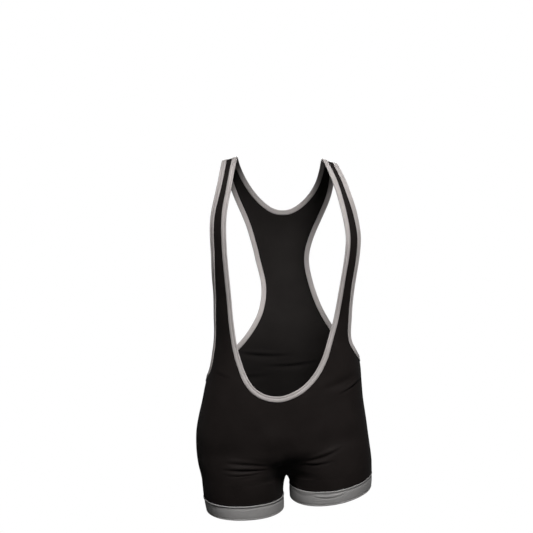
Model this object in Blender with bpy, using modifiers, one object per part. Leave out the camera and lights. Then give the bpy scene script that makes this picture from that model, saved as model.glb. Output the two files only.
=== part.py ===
"""Low-cut sports bodysuit with short legs, filled out as if worn.

Metres, +Z up, front towards -Y. The origin lies midway between the tops of the straps, where
shoulders carry the suit. The wearer's right side is at -X. Every piece is a cloth wall that
grows outwards from its inner face, and every inner face lies on one general figure: rings
from a short table of sections, shoulders rounded over above them, two legs below them.
"""

import math
from collections import namedtuple

import bpy
import numpy as np

NAME = "bodysuit"

# Cloth
PANEL_WALL = 0.0014
BINDING_WALL = 0.0022
BAND_WALL = 0.0018
SEAM_GAP = 0.0003
BINDING_WIDTH = 0.0105
BAND_HEIGHT = 0.028

# Levels of the figure
SHOULDER = 0.0
CHEST = -0.16
HIP = -0.57
CROTCH = -0.641
LEG_DROP = {-1: 0.037, 1: 0.017}  # crotch to hem, for each side; the suit's left leg rides up
HEM_RISE = {-1: 0.013, 1: 0.008}  # how much higher a hem sits on the outside of its leg
HEM_DIP = {-1: 0.0015, 1: 0.007}  # and lower at its front and back
LEG_GAP = 0.008  # from the middle to each inner thigh
LEG_ARCH = 0.030  # height over which that gap opens
SHOULDER_SLOPE = 0.30
STRAP_REACH = 0.10  # from the middle to the straps, at the shoulders

# Mesh
COLUMNS = 10  # across half a front or half a back
STEPS = 2  # rows of mesh for each row of a cut table
CROTCH_ROWS = 6
LEG_SHARES = (0.14, 0.32, 0.55, 0.78, 1.0)
RELAX_REACH = 0.055  # how far from the crotch the cloth is drawn smooth
RELAX_ROUNDS = 14
RELAX_ON_LEGS = 0.2  # share of that drawing at the top of each leg
LEVEL_ROUNDS = 3  # for a point's level, which depends on where it lies across
BISECTIONS = 40

# The figure's sections, top to bottom. left and right are the outlines' X, front and back the
# depths before and behind the centre, which is a Y; square fills the ring's corners out; tilt
# (degrees) lifts the +X side of the suit's lines, turn (degrees) slides them round and slip
# (degrees) slides the armholes' edges further.
Section = namedtuple("Section", "height left right front back centre square tilt turn slip")
FIGURE = (
    Section(0.000, -0.177, 0.159, 0.112, 0.112, 0.012, 0.15, -1.5, 0.0, 0.0),
    Section(-0.060, -0.175, 0.169, 0.112, 0.112, 0.008, 0.15, -1.2, 0.0, 0.0),
    Section(-0.120, -0.171, 0.169, 0.112, 0.112, 0.003, 0.15, -0.6, 0.2, 0.0),
    Section(-0.160, -0.167, 0.167, 0.113, 0.112, 0.000, 0.15, 0.0, 1.0, 0.0),
    Section(-0.200, -0.162, 0.162, 0.113, 0.109, 0.000, 0.15, 0.8, 0.8, -0.2),
    Section(-0.265, -0.149, 0.150, 0.106, 0.096, 0.000, 0.15, 2.5, -0.5, -3.0),
    Section(-0.320, -0.144, 0.144, 0.100, 0.084, 0.000, 0.15, 4.5, -1.2, -4.7),
    Section(-0.360, -0.143, 0.142, 0.097, 0.079, 0.000, 0.15, 6.0, -1.4, -4.9),
    Section(-0.390, -0.146, 0.149, 0.096, 0.080, 0.000, 0.15, 7.0, -1.7, -3.4),
    Section(-0.420, -0.151, 0.154, 0.097, 0.085, 0.000, 0.15, 7.7, -1.8, -1.0),
    Section(-0.460, -0.160, 0.157, 0.100, 0.097, 0.000, 0.15, 8.0, -1.4, 0.0),
    Section(-0.500, -0.168, 0.162, 0.101, 0.110, 0.000, 0.16, 7.8, -1.2, 0.0),
    Section(-0.540, -0.176, 0.168, 0.101, 0.120, 0.000, 0.17, 7.4, -0.6, 0.0),
    Section(-0.570, -0.178, 0.172, 0.099, 0.123, 0.000, 0.17, 7.0, 0.0, 0.0),
    Section(-0.610, -0.174, 0.176, 0.096, 0.116, 0.000, 0.12, 6.6, 0.0, 0.0),
    Section(-0.650, -0.166, 0.176, 0.091, 0.104, 0.000, 0.08, 6.3, 0.0, 0.0),
    Section(-0.690, -0.163, 0.174, 0.087, 0.096, 0.000, 0.05, 6.0, 0.0, 0.0),
    Section(-0.730, -0.155, 0.170, 0.084, 0.092, 0.000, 0.05, 6.0, 0.0, 0.0),
)

# The cut of half a panel, shoulder to waist: heights and angles (degrees, round from the
# panel's own centre) of its armhole edge and of its neck edge or, from there on, its centre.
Cut = namedtuple("Cut", "arm_height arm_angle neck_height neck_angle")
FRONT_CUT = (
    Cut(0.000, 35.4, 0.000, 30.8),
    Cut(-0.012, 36.2, -0.012, 31.6),
    Cut(-0.040, 38.5, -0.040, 33.9),
    Cut(-0.075, 42.4, -0.075, 36.9),
    Cut(-0.116, 48.3, -0.116, 40.8),
    Cut(-0.160, 52.3, -0.160, 43.4),
    Cut(-0.210, 54.6, -0.210, 44.1),
    Cut(-0.260, 58.5, -0.262, 44.6),
    Cut(-0.310, 61.1, -0.312, 43.3),
    Cut(-0.352, 62.9, -0.360, 39.4),
    Cut(-0.386, 64.2, -0.400, 32.1),
    Cut(-0.405, 67.9, -0.433, 24.5),
    Cut(-0.417, 73.4, -0.4565, 16.9),
    Cut(-0.426, 81.5, -0.4705, 9.0),
    Cut(-0.430, 90.0, -0.4765, 0.0),
)
BACK_CUT = (
    Cut(0.000, 35.4, 0.000, 30.8),
    Cut(-0.012, 34.6, -0.012, 29.8),
    Cut(-0.040, 32.2, -0.036, 26.6),
    Cut(-0.072, 28.6, -0.062, 21.8),
    Cut(-0.105, 24.0, -0.086, 15.8),
    Cut(-0.140, 19.4, -0.106, 8.2),
    Cut(-0.180, 15.8, -0.114, 0.0),
    Cut(-0.225, 14.6, -0.170, 0.0),
    Cut(-0.270, 16.2, -0.220, 0.0),
    Cut(-0.315, 21.4, -0.265, 0.0),
    Cut(-0.352, 30.2, -0.306, 0.0),
    Cut(-0.383, 42.0, -0.342, 0.0),
    Cut(-0.407, 56.5, -0.378, 0.0),
    Cut(-0.424, 73.0, -0.413, 0.0),
    Cut(-0.430, 90.0, -0.444, 0.0),
)
BACK_NECK_ROW = 6  # the row of the back's cut that reaches its centre

# Below the armholes: heights at the side seam and on the centres, waist to hip.
Level = namedtuple("Level", "side front back")
TRUNK = (
    Level(-0.460, -0.500, -0.470),
    Level(-0.494, -0.523, -0.500),
    Level(-0.532, -0.546, -0.534),
    Level(-0.570, -0.570, -0.570),
)

UPPER_ROWS = (len(FRONT_CUT) - 1) * STEPS + 1
CROTCH_ROW = len(TRUNK) + CROTCH_ROWS - 1
HEM_ROW = CROTCH_ROW + len(LEG_SHARES)

Finish = namedtuple("Finish", "color roughness")
JERSEY = Finish((0.012, 0.010, 0.010, 1.0), 0.62)
BINDING = Finish((0.32, 0.31, 0.30, 1.0), 0.55)
BAND = Finish((0.13, 0.13, 0.13, 1.0), 0.60)


def hermite(start, end, start_slope, end_slope, share):
    """Cubic curve between two values with given slopes."""
    return (
        (2 * share**3 - 3 * share**2 + 1) * start
        + (share**3 - 2 * share**2 + share) * start_slope
        + (3 * share**2 - 2 * share**3) * end
        + (share**3 - share**2) * end_slope
    )


FIGURE_ROWS = np.array(FIGURE)
FIGURE_DROPS = -FIGURE_ROWS[:, 0]
FIGURE_SLOPES = np.gradient(FIGURE_ROWS, FIGURE_DROPS, axis=0)


def figure_at(height):
    """The figure's section at any height, on a smooth curve through the table."""
    drop = min(max(-height, FIGURE_DROPS[0]), FIGURE_DROPS[-1])
    row = min(int(np.searchsorted(FIGURE_DROPS, drop, side="right")) - 1, len(FIGURE) - 2)
    span = FIGURE_DROPS[row + 1] - FIGURE_DROPS[row]
    return Section(
        *hermite(
            FIGURE_ROWS[row],
            FIGURE_ROWS[row + 1],
            FIGURE_SLOPES[row] * span,
            FIGURE_SLOPES[row + 1] * span,
            (drop - FIGURE_DROPS[row]) / span,
        )
    )


def across(angle, square):
    """Sideways share of a ring's half width at an angle from its front."""
    return math.sin(angle) * (1 + square * math.cos(angle) ** 2)


def along(angle, square):
    """Forward share of a ring's depth at an angle from its front."""
    return math.cos(angle) * (1 + square * math.sin(angle) ** 2)


def dome(height):
    """Share of the chest's depth that is left above the chest, rounding over to 0 at the top."""
    if height <= CHEST:
        return 1.0
    return math.sqrt(max(0.0, 1 - ((height - CHEST) / (SHOULDER - CHEST)) ** 2))


def split(height, half):
    """(centre, half width) of one leg's ring, from the middle: 0 and all of it above the hip."""
    if height >= HIP:
        return 0.0, half
    if height >= CROTCH:
        share = (HIP - height) / (HIP - CROTCH)
        return half * share / (1 + share), half / (1 + share)
    opened = min(1.0, (CROTCH - height) / LEG_ARCH)
    gap = LEG_GAP * math.sqrt(1 - (1 - opened) ** 2)
    return (half + gap) / 2, (half - gap) / 2


def cloth_point(side, height, angle):
    """A point on the cloth's inner face.

    side is -1 or 1 for the half at -X or +X. The angle runs in radians from the front over the
    side (90 degrees) to the back (180), and past either of them round the inside of a leg.
    """
    turned = angle + side * math.radians(figure_at(height).turn)
    slope = math.tan(math.radians(figure_at(height).tilt))
    level = height
    for _ in range(LEVEL_ROUNDS):
        ring = figure_at(level)
        centre, half = split(height, (ring.right - ring.left) / 2)
        x = side * (centre + half * across(turned, ring.square))
        if height < CHEST:
            level = height + slope * x
    depth = (ring.front if math.cos(turned) > 0 else ring.back) * dome(height)
    y = ring.centre - depth * along(turned, ring.square)
    rounding = min(1.0, max(0.0, (height - CHEST) / (SHOULDER - CHEST)))
    z = height + slope * x - SHOULDER_SLOPE * (abs(x) - STRAP_REACH) * rounding
    hemmed = min(1.0, max(0.0, (HIP - height) / (HIP - CROTCH + LEG_DROP[side])))
    rise = HEM_RISE[side] * (1 + math.sin(angle)) / 2 - HEM_DIP[side] * math.cos(angle) ** 2
    z += hemmed**2 * rise
    return np.array(((ring.left + ring.right) / 2 + x, y, z))


def inner_angle(height):
    """Angle, 0 or less, at which a leg's front half ends on the middle or at the inseam."""
    if height >= HIP:
        return 0.0
    if height <= CROTCH:
        return -math.pi / 2
    share = (HIP - height) / (HIP - CROTCH)
    low, high = -math.pi / 2, 0.0
    square = figure_at(height).square
    for _ in range(BISECTIONS):
        guess = (low + high) / 2
        if across(guess, square) < -share:
            low = guess
        else:
            high = guess
    return (low + high) / 2


def smooth_run(points, after):
    """STEPS points for each stretch of a table's column pair, on a curve through them all."""
    points = np.array(points, float)
    padded = np.vstack([2 * points[0] - points[1], points, after])
    run = []
    for row in range(1, len(points)):
        start_slope = (padded[row + 1] - padded[row - 1]) / 2
        end_slope = (padded[row + 2] - padded[row]) / 2
        for step in range(STEPS):
            run.append(hermite(padded[row], padded[row + 1], start_slope, end_slope, step / STEPS))
    run.append(points[-1])
    return run


def edges(cut, other, centre_row):
    """(armhole edge, neck and centre edge) of a panel's upper half, as heights and angles."""
    arm = [(row.arm_height, row.arm_angle) for row in cut]
    neck = [(row.neck_height, row.neck_angle) for row in cut]
    past_side = (other[-2].arm_height, 180 - other[-2].arm_angle)
    arm_edge = smooth_run(arm, past_side)
    past_centre = (neck[centre_row - 1][0], -neck[centre_row - 1][1])
    neck_edge = smooth_run(neck[: centre_row + 1], past_centre)
    if centre_row < len(neck) - 1:
        after = (2 * neck[-1][0] - neck[-2][0], 0.0)
        neck_edge += smooth_run(neck[centre_row:], after)[1:]
    return arm_edge, neck_edge


def smooth(share):
    """Eased share, level at both ends."""
    return share * share * (3 - 2 * share)


def upper_rows(side, cut, other, centre_row, back):
    """Grid of points of half a panel from the shoulder to the foot of the armhole."""
    rows = []
    for arm, neck in zip(*edges(cut, other, centre_row)):
        row = []
        slip = side * figure_at(arm[0]).slip * (-1 if back else 1)
        arm = (arm[0], arm[1] + slip)
        for column in range(COLUMNS + 1):
            share = column / COLUMNS
            bent = share + (smooth(share) - share) * len(rows) / (UPPER_ROWS - 1)
            height = neck[0] + (arm[0] - neck[0]) * bent
            angle = neck[1] + (arm[1] - neck[1]) * share
            row.append(cloth_point(side, height, math.radians(180 - angle if back else angle)))
        rows.append(row)
    return np.array(rows)


def lower_heights(side):
    """(side, front centre, back centre) heights of every row below the armholes' foot."""
    levels = [tuple(level) for level in TRUNK]
    for row in range(1, CROTCH_ROWS + 1):
        share = row / CROTCH_ROWS
        share = (share + math.sin(share * math.pi / 2)) / 2
        levels.append((HIP - (HIP - CROTCH) * share,) * 3)
    levels += [(CROTCH - LEG_DROP[side] * share,) * 3 for share in LEG_SHARES]
    levels.append((CROTCH - LEG_DROP[side] - BAND_HEIGHT,) * 3)
    return levels


def lower_rows(side):
    """Grid of one side's points below the armholes' foot, from front centre round to back."""
    rows = []
    for side_height, front_height, back_height in lower_heights(side):
        inner = inner_angle(front_height)
        shares = np.linspace(0, 1, COLUMNS + 1)
        front = [
            cloth_point(
                side,
                front_height + (side_height - front_height) * smooth(share),
                inner + (math.pi / 2 - inner) * share,
            )
            for share in shares
        ]
        back = [
            cloth_point(
                side,
                back_height + (side_height - back_height) * smooth(share),
                math.pi - inner + (inner - math.pi / 2) * share,
            )
            for share in shares[-2::-1]
        ]
        rows.append(front + back)
    return np.array(rows)


def relaxed(halves):
    """Both sides' lower grids with the cloth between the thighs drawn taut and smooth."""
    points = np.array(halves)
    crotch = points[0, CROTCH_ROW, 0].copy()
    distance = np.linalg.norm(points - crotch, axis=-1)
    fade = np.ones(points.shape[1])
    fade[CROTCH_ROW : HEM_ROW + 1] = np.linspace(
        RELAX_ON_LEGS, 0, HEM_ROW + 1 - CROTCH_ROW
    )
    fade[HEM_ROW:] = 0
    fade[0] = 0
    weight = (np.exp(-((distance / RELAX_REACH) ** 2)) * fade[None, :, None])[..., None]
    on_leg = (np.arange(points.shape[1]) > CROTCH_ROW)[None, :, None]
    for _ in range(RELAX_ROUNDS):
        before, after = np.roll(points, 1, axis=2), np.roll(points, -1, axis=2)
        other = points[::-1]
        before[:, :, 0] = np.where(on_leg, points[:, :, -2], other[:, :, 1])
        after[:, :, -1] = np.where(on_leg, points[:, :, 1], other[:, :, -2])
        above, below = np.roll(points, 1, axis=1), np.roll(points, -1, axis=1)
        points = points + weight * ((before + after + above + below) / 4 - points)
        points[:, CROTCH_ROW, (0, -1)] = crotch
    return points


def towards(point, goal, distance):
    """The point moved a distance towards another."""
    way = goal - point
    return point + way * distance / np.linalg.norm(way, axis=-1, keepdims=True)


def with_seams(halves):
    """The two halves of a panel, with half a seam's gap left at each join."""
    seamed = []
    for whole in halves:
        grid = whole.copy()
        seam_from = UPPER_ROWS - 1
        legs_from = UPPER_ROWS + CROTCH_ROW
        grid[0] = towards(grid[0], grid[1], SEAM_GAP / 2)
        grid[-1] = towards(grid[-1], grid[-2], SEAM_GAP / 2)
        grid[seam_from:, -1] = towards(grid[seam_from:, -1], grid[seam_from:, -2], SEAM_GAP / 2)
        grid[legs_from, 0] = towards(grid[legs_from, 0], grid[legs_from - 1, 0], SEAM_GAP / 2)
        below = slice(legs_from + 1, None)
        grid[below, 0] = towards(grid[below, 0], grid[below, 1], SEAM_GAP / 2)
        seamed.append(grid)
    return seamed


def loop_strip(runs, column, beside, width):
    """Strip of cloth along panels' edges: a row at the seam's gap and a row at its free edge.

    runs are (grid, rows) round a closed loop; column is the edge's and beside is the next one.
    """
    stops = [(grid, row) for grid, rows in runs for row in rows]
    edge = np.array([grid[row, column] for grid, row in stops])
    inner = np.array([grid[row, beside] for grid, row in stops])
    down = np.array([grid[row + 1, beside] - grid[max(row - 1, 0), beside] for grid, row in stops])
    over = np.array([grid[row, beside + 1] - grid[row, beside - 1] for grid, row in stops])
    normal = np.cross(down, over)
    outward = inner - np.array([(0.0, 0.0, min(point[2], CHEST)) for point in inner])
    normal *= np.sign((normal * outward).sum(axis=1, keepdims=True))
    tangent = np.roll(edge, -1, axis=0) - np.roll(edge, 1, axis=0)
    out = np.cross(tangent, normal)
    out *= np.sign((out * (edge - inner)).sum())
    out /= np.linalg.norm(out, axis=1, keepdims=True)
    return np.array([edge + out * SEAM_GAP, edge + out * (SEAM_GAP + width)])


def principled(name, finish):
    """Principled material in a piece's own colour."""
    material = bpy.data.materials.new(name)
    material.use_nodes = True
    shader = material.node_tree.nodes["Principled BSDF"]
    shader.inputs["Base Color"].default_value = finish.color
    shader.inputs["Roughness"].default_value = finish.roughness
    shader.inputs["Metallic"].default_value = 0.0
    return material


def halved(points, face):
    """A quad's two triangles, split along its shorter diagonal."""
    first, second, third, fourth = face
    if np.linalg.norm(points[first] - points[third]) > np.linalg.norm(
        points[second] - points[fourth]
    ):
        first, second, third, fourth = second, third, fourth, first
    return [(first, second, third), (first, third, fourth)]


def cloth(collection, name, points, faces, wall, finish):
    """One piece of cloth: an open surface, facing out, with a wall grown outwards from it."""
    mesh = bpy.data.meshes.new(name)
    triangles = [triangle for face in faces for triangle in halved(points, face)]
    mesh.from_pydata([tuple(point) for point in points], [], triangles)
    mesh.update()
    mesh.shade_smooth()
    piece = bpy.data.objects.new(name, mesh)
    collection.objects.link(piece)
    mesh.materials.append(principled(name, finish))
    solidify = piece.modifiers.new("wall", "SOLIDIFY")
    solidify.thickness = wall
    solidify.offset = 1.0
    solidify.use_rim = True
    return piece


def grid_faces(numbers, closed=False):
    """Quads over a grid of vertex numbers; closed joins its last column to its first."""
    faces = []
    rows, columns = numbers.shape
    for row in range(rows - 1):
        for column in range(columns if closed else columns - 1):
            after = (column + 1) % columns
            corners = (
                numbers[row, column],
                numbers[row, after],
                numbers[row + 1, after],
                numbers[row + 1, column],
            )
            faces.append(tuple(int(corner) for corner in corners))
    return faces


def flipped(faces):
    """The same faces seen from their other side, each from the same first corner."""
    return [(face[0], face[3], face[2], face[1]) for face in faces]


def panel(collection, name, halves, centre_from, turned):
    """Front or back: two halves welded down their centre, from a row down to the crotch."""
    shape = halves[0].shape[:2]
    count = shape[0] * shape[1]
    left = np.arange(count).reshape(shape)
    right = left + count
    crotch = len(halves[0]) - 1 - len(LEG_SHARES)
    right[centre_from : crotch + 1, 0] = left[centre_from : crotch + 1, 0]
    sides = (grid_faces(left), grid_faces(right))
    faces = flipped(sides[0]) + sides[1] if turned else sides[0] + flipped(sides[1])
    used = sorted({corner for face in faces for corner in face})
    number = {old: new for new, old in enumerate(used)}
    points = np.concatenate([half.reshape(-1, 3) for half in halves])[used]
    faces = [tuple(number[corner] for corner in face) for face in faces]
    return cloth(collection, name, points, faces, PANEL_WALL, JERSEY)


def ring(collection, name, strip, wall, finish, turned):
    """A closed strip, such as a binding or a band."""
    numbers = np.arange(strip.shape[0] * strip.shape[1]).reshape(strip.shape[:2])
    faces = grid_faces(numbers, closed=True)
    if turned:
        faces = flipped(faces)
    return cloth(collection, name, strip.reshape(-1, 3), faces, wall, finish)


def armhole_binding(collection, name, front, back, turned):
    """Binding round one armhole: down the front's edge, under the arm and up the back's."""
    foot = UPPER_ROWS - 1
    runs = ((front, range(0, foot + 1)), (back, range(foot - 1, 0, -1)))
    strip = loop_strip(runs, COLUMNS, COLUMNS - 1, BINDING_WIDTH)
    return ring(collection, name, strip, BINDING_WALL, BINDING, turned)


def neck_binding(collection, name, fronts, backs):
    """Binding round the neck: the front's U, over the shoulders and round the back."""
    foot = UPPER_ROWS - 1
    back_foot = BACK_NECK_ROW * STEPS
    runs = (
        (fronts[0], range(0, foot + 1)),
        (fronts[1], range(foot - 1, -1, -1)),
        (backs[1], range(1, back_foot + 1)),
        (backs[0], range(back_foot - 1, 0, -1)),
    )
    strip = loop_strip(runs, 0, 1, BINDING_WIDTH)
    return ring(collection, name, strip, BINDING_WALL, BINDING, False)


def leg_band(collection, name, half, turned):
    """Band at the foot of one leg, a closed ring under its hem."""
    top, foot = half[HEM_ROW, :-1], half[HEM_ROW + 1, :-1]
    strip = np.array([towards(top, foot, SEAM_GAP / 2), foot])
    return ring(collection, name, strip, BAND_WALL, BAND, turned)


def build():
    """Clear the scene and build every piece of the suit."""
    for item in list(bpy.data.objects):
        bpy.data.objects.remove(item, do_unlink=True)
    collection = bpy.data.collections.new(NAME)
    bpy.context.scene.collection.children.link(collection)

    sides = (-1, 1)
    last = len(FRONT_CUT) - 1
    fronts = [upper_rows(side, FRONT_CUT, BACK_CUT, last, False) for side in sides]
    backs = [upper_rows(side, BACK_CUT, FRONT_CUT, BACK_NECK_ROW, True) for side in sides]
    lower = relaxed([lower_rows(side) for side in sides])

    for number, half in enumerate(lower):
        covered = half[: HEM_ROW + 1]
        fronts[number] = np.concatenate([fronts[number], covered[:, : COLUMNS + 1]])
        backs[number] = np.concatenate([backs[number], covered[:, : COLUMNS - 1 : -1]])
    panel(collection, "front_panel", with_seams(fronts), last * STEPS, False)
    panel(collection, "back_panel", with_seams(backs), BACK_NECK_ROW * STEPS, True)

    neck_binding(collection, "neck_binding", fronts, backs)
    for number, name in ((0, "right"), (1, "left")):
        armhole_binding(
            collection, "armhole_binding_" + name, fronts[number], backs[number], number == 0
        )
        leg_band(collection, "leg_band_" + name, lower[number], number == 1)


build()
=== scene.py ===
"""Looks of a low-cut sports bodysuit with short legs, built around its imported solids.

Metres, +Z up, front towards -Y, the wearer's right side at -X. The solids' own tables and
functions are repeated here, then drawn through much finer rows and columns of cloth, which
carry the creases, the seams, the rolled bindings and the folded leg bands.
"""

import logging
import math
from dataclasses import dataclass, field
from enum import Enum
from functools import cache
from typing import Any, ClassVar, NamedTuple, Sequence

import bpy
import numpy as np
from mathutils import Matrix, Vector
from mathutils.bvhtree import BVHTree


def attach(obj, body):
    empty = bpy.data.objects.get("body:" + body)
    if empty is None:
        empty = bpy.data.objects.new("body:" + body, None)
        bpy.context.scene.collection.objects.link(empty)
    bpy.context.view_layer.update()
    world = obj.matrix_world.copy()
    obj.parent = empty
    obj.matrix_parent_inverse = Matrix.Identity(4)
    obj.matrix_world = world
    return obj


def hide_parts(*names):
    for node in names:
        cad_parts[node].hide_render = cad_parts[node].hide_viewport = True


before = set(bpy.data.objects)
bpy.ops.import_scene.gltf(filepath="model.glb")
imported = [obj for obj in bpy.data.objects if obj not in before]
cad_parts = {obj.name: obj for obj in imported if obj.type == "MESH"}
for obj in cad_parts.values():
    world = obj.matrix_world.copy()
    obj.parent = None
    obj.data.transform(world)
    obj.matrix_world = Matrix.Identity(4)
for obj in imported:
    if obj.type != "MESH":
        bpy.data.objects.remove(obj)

LOG = logging.getLogger("bodysuit")
BODY = "root"
MM = 0.001
TINY = 1e-9
SIDES = (-1, 1)
Z_AXIS = np.array((0.0, 0.0, 1.0))

Numbers = float | np.ndarray
Place = tuple[float, float, float]
Colour = tuple[float, float, float]


# ---------------------------------------------------------------- the cut and its figure


class Face(Enum):
    """Which half of the suit, and the sign of Y that it faces."""

    FRONT = -1
    BACK = 1

    def other(self) -> "Face":
        """The other half of the suit."""
        return Face(-self.value)


class Section(NamedTuple):
    """One ring of the figure: outline X, depths before and behind its centre Y, and turns."""

    height: float
    left: float
    right: float
    front: float
    back: float
    centre: float
    square: float
    tilt: float
    turn: float
    slip: float


class Cut(NamedTuple):
    """Heights and angles of a panel's armhole edge and of its neck edge or centre."""

    arm_height: float
    arm_angle: float
    neck_height: float
    neck_angle: float


class Level(NamedTuple):
    """Heights of one line round the trunk, at the side seam and on both centres."""

    side: float
    front: float
    back: float


FIGURE = (
    Section(0.000, -0.177, 0.159, 0.112, 0.112, 0.012, 0.15, -1.5, 0.0, 0.0),
    Section(-0.060, -0.175, 0.169, 0.112, 0.112, 0.008, 0.15, -1.2, 0.0, 0.0),
    Section(-0.120, -0.171, 0.169, 0.112, 0.112, 0.003, 0.15, -0.6, 0.2, 0.0),
    Section(-0.160, -0.167, 0.167, 0.113, 0.112, 0.000, 0.15, 0.0, 1.0, 0.0),
    Section(-0.200, -0.162, 0.162, 0.113, 0.109, 0.000, 0.15, 0.8, 0.8, -0.2),
    Section(-0.265, -0.149, 0.150, 0.106, 0.096, 0.000, 0.15, 2.5, -0.5, -3.0),
    Section(-0.320, -0.144, 0.144, 0.100, 0.084, 0.000, 0.15, 4.5, -1.2, -4.7),
    Section(-0.360, -0.143, 0.142, 0.097, 0.079, 0.000, 0.15, 6.0, -1.4, -4.9),
    Section(-0.390, -0.146, 0.149, 0.096, 0.080, 0.000, 0.15, 7.0, -1.7, -3.4),
    Section(-0.420, -0.151, 0.154, 0.097, 0.085, 0.000, 0.15, 7.7, -1.8, -1.0),
    Section(-0.460, -0.160, 0.157, 0.100, 0.097, 0.000, 0.15, 8.0, -1.4, 0.0),
    Section(-0.500, -0.168, 0.162, 0.101, 0.110, 0.000, 0.16, 7.8, -1.2, 0.0),
    Section(-0.540, -0.176, 0.168, 0.101, 0.120, 0.000, 0.17, 7.4, -0.6, 0.0),
    Section(-0.570, -0.178, 0.172, 0.099, 0.123, 0.000, 0.17, 7.0, 0.0, 0.0),
    Section(-0.610, -0.174, 0.176, 0.096, 0.116, 0.000, 0.12, 6.6, 0.0, 0.0),
    Section(-0.650, -0.166, 0.176, 0.091, 0.104, 0.000, 0.08, 6.3, 0.0, 0.0),
    Section(-0.690, -0.163, 0.174, 0.087, 0.096, 0.000, 0.05, 6.0, 0.0, 0.0),
    Section(-0.730, -0.155, 0.170, 0.084, 0.092, 0.000, 0.05, 6.0, 0.0, 0.0),
)
FRONT_CUT = (
    Cut(0.000, 35.4, 0.000, 30.8),
    Cut(-0.012, 36.2, -0.012, 31.6),
    Cut(-0.040, 38.5, -0.040, 33.9),
    Cut(-0.075, 42.4, -0.075, 36.9),
    Cut(-0.116, 48.3, -0.116, 40.8),
    Cut(-0.160, 52.3, -0.160, 43.4),
    Cut(-0.210, 54.6, -0.210, 44.1),
    Cut(-0.260, 58.5, -0.262, 44.6),
    Cut(-0.310, 61.1, -0.312, 43.3),
    Cut(-0.352, 62.9, -0.360, 39.4),
    Cut(-0.386, 64.2, -0.400, 32.1),
    Cut(-0.405, 67.9, -0.433, 24.5),
    Cut(-0.417, 73.4, -0.4565, 16.9),
    Cut(-0.426, 81.5, -0.4705, 9.0),
    Cut(-0.430, 90.0, -0.4765, 0.0),
)
BACK_CUT = (
    Cut(0.000, 35.4, 0.000, 30.8),
    Cut(-0.012, 34.6, -0.012, 29.8),
    Cut(-0.040, 32.2, -0.036, 26.6),
    Cut(-0.072, 28.6, -0.062, 21.8),
    Cut(-0.105, 24.0, -0.086, 15.8),
    Cut(-0.140, 19.4, -0.106, 8.2),
    Cut(-0.180, 15.8, -0.114, 0.0),
    Cut(-0.225, 14.6, -0.170, 0.0),
    Cut(-0.270, 16.2, -0.220, 0.0),
    Cut(-0.315, 21.4, -0.265, 0.0),
    Cut(-0.352, 30.2, -0.306, 0.0),
    Cut(-0.383, 42.0, -0.342, 0.0),
    Cut(-0.407, 56.5, -0.378, 0.0),
    Cut(-0.424, 73.0, -0.413, 0.0),
    Cut(-0.430, 90.0, -0.444, 0.0),
)
TRUNK = (
    Level(-0.460, -0.500, -0.470),
    Level(-0.494, -0.523, -0.500),
    Level(-0.532, -0.546, -0.534),
    Level(-0.570, -0.570, -0.570),
)


def hermite(
    start: Numbers, end: Numbers, start_slope: Numbers, end_slope: Numbers, share: Numbers
) -> Numbers:
    """Cubic curve between two values.

    Args:
        start, end: The two values.
        start_slope, end_slope: The curve's slopes there, over the whole stretch.
        share: How far along the stretch, 0 to 1.

    Returns:
        The value there.
    """
    return (
        (2 * share**3 - 3 * share**2 + 1) * start
        + (share**3 - 2 * share**2 + share) * start_slope
        + (3 * share**2 - 2 * share**3) * end
        + (share**3 - share**2) * end_slope
    )


def smooth(share: Numbers) -> Numbers:
    """Eased share, level at both ends."""
    return share * share * (3 - 2 * share)


def unit(ways: np.ndarray) -> np.ndarray:
    """The same ways, each of length 1."""
    return ways / np.maximum(np.linalg.norm(ways, axis=-1, keepdims=True), TINY)


def closed(points: np.ndarray) -> np.ndarray:
    """A run of points with its first one again at its end."""
    return np.concatenate([points, points[:1]])


def lengths(points: np.ndarray) -> np.ndarray:
    """Distance along a run of points, at each of them."""
    return np.concatenate([[0], np.cumsum(np.linalg.norm(np.diff(points, axis=0), axis=1))])


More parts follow.
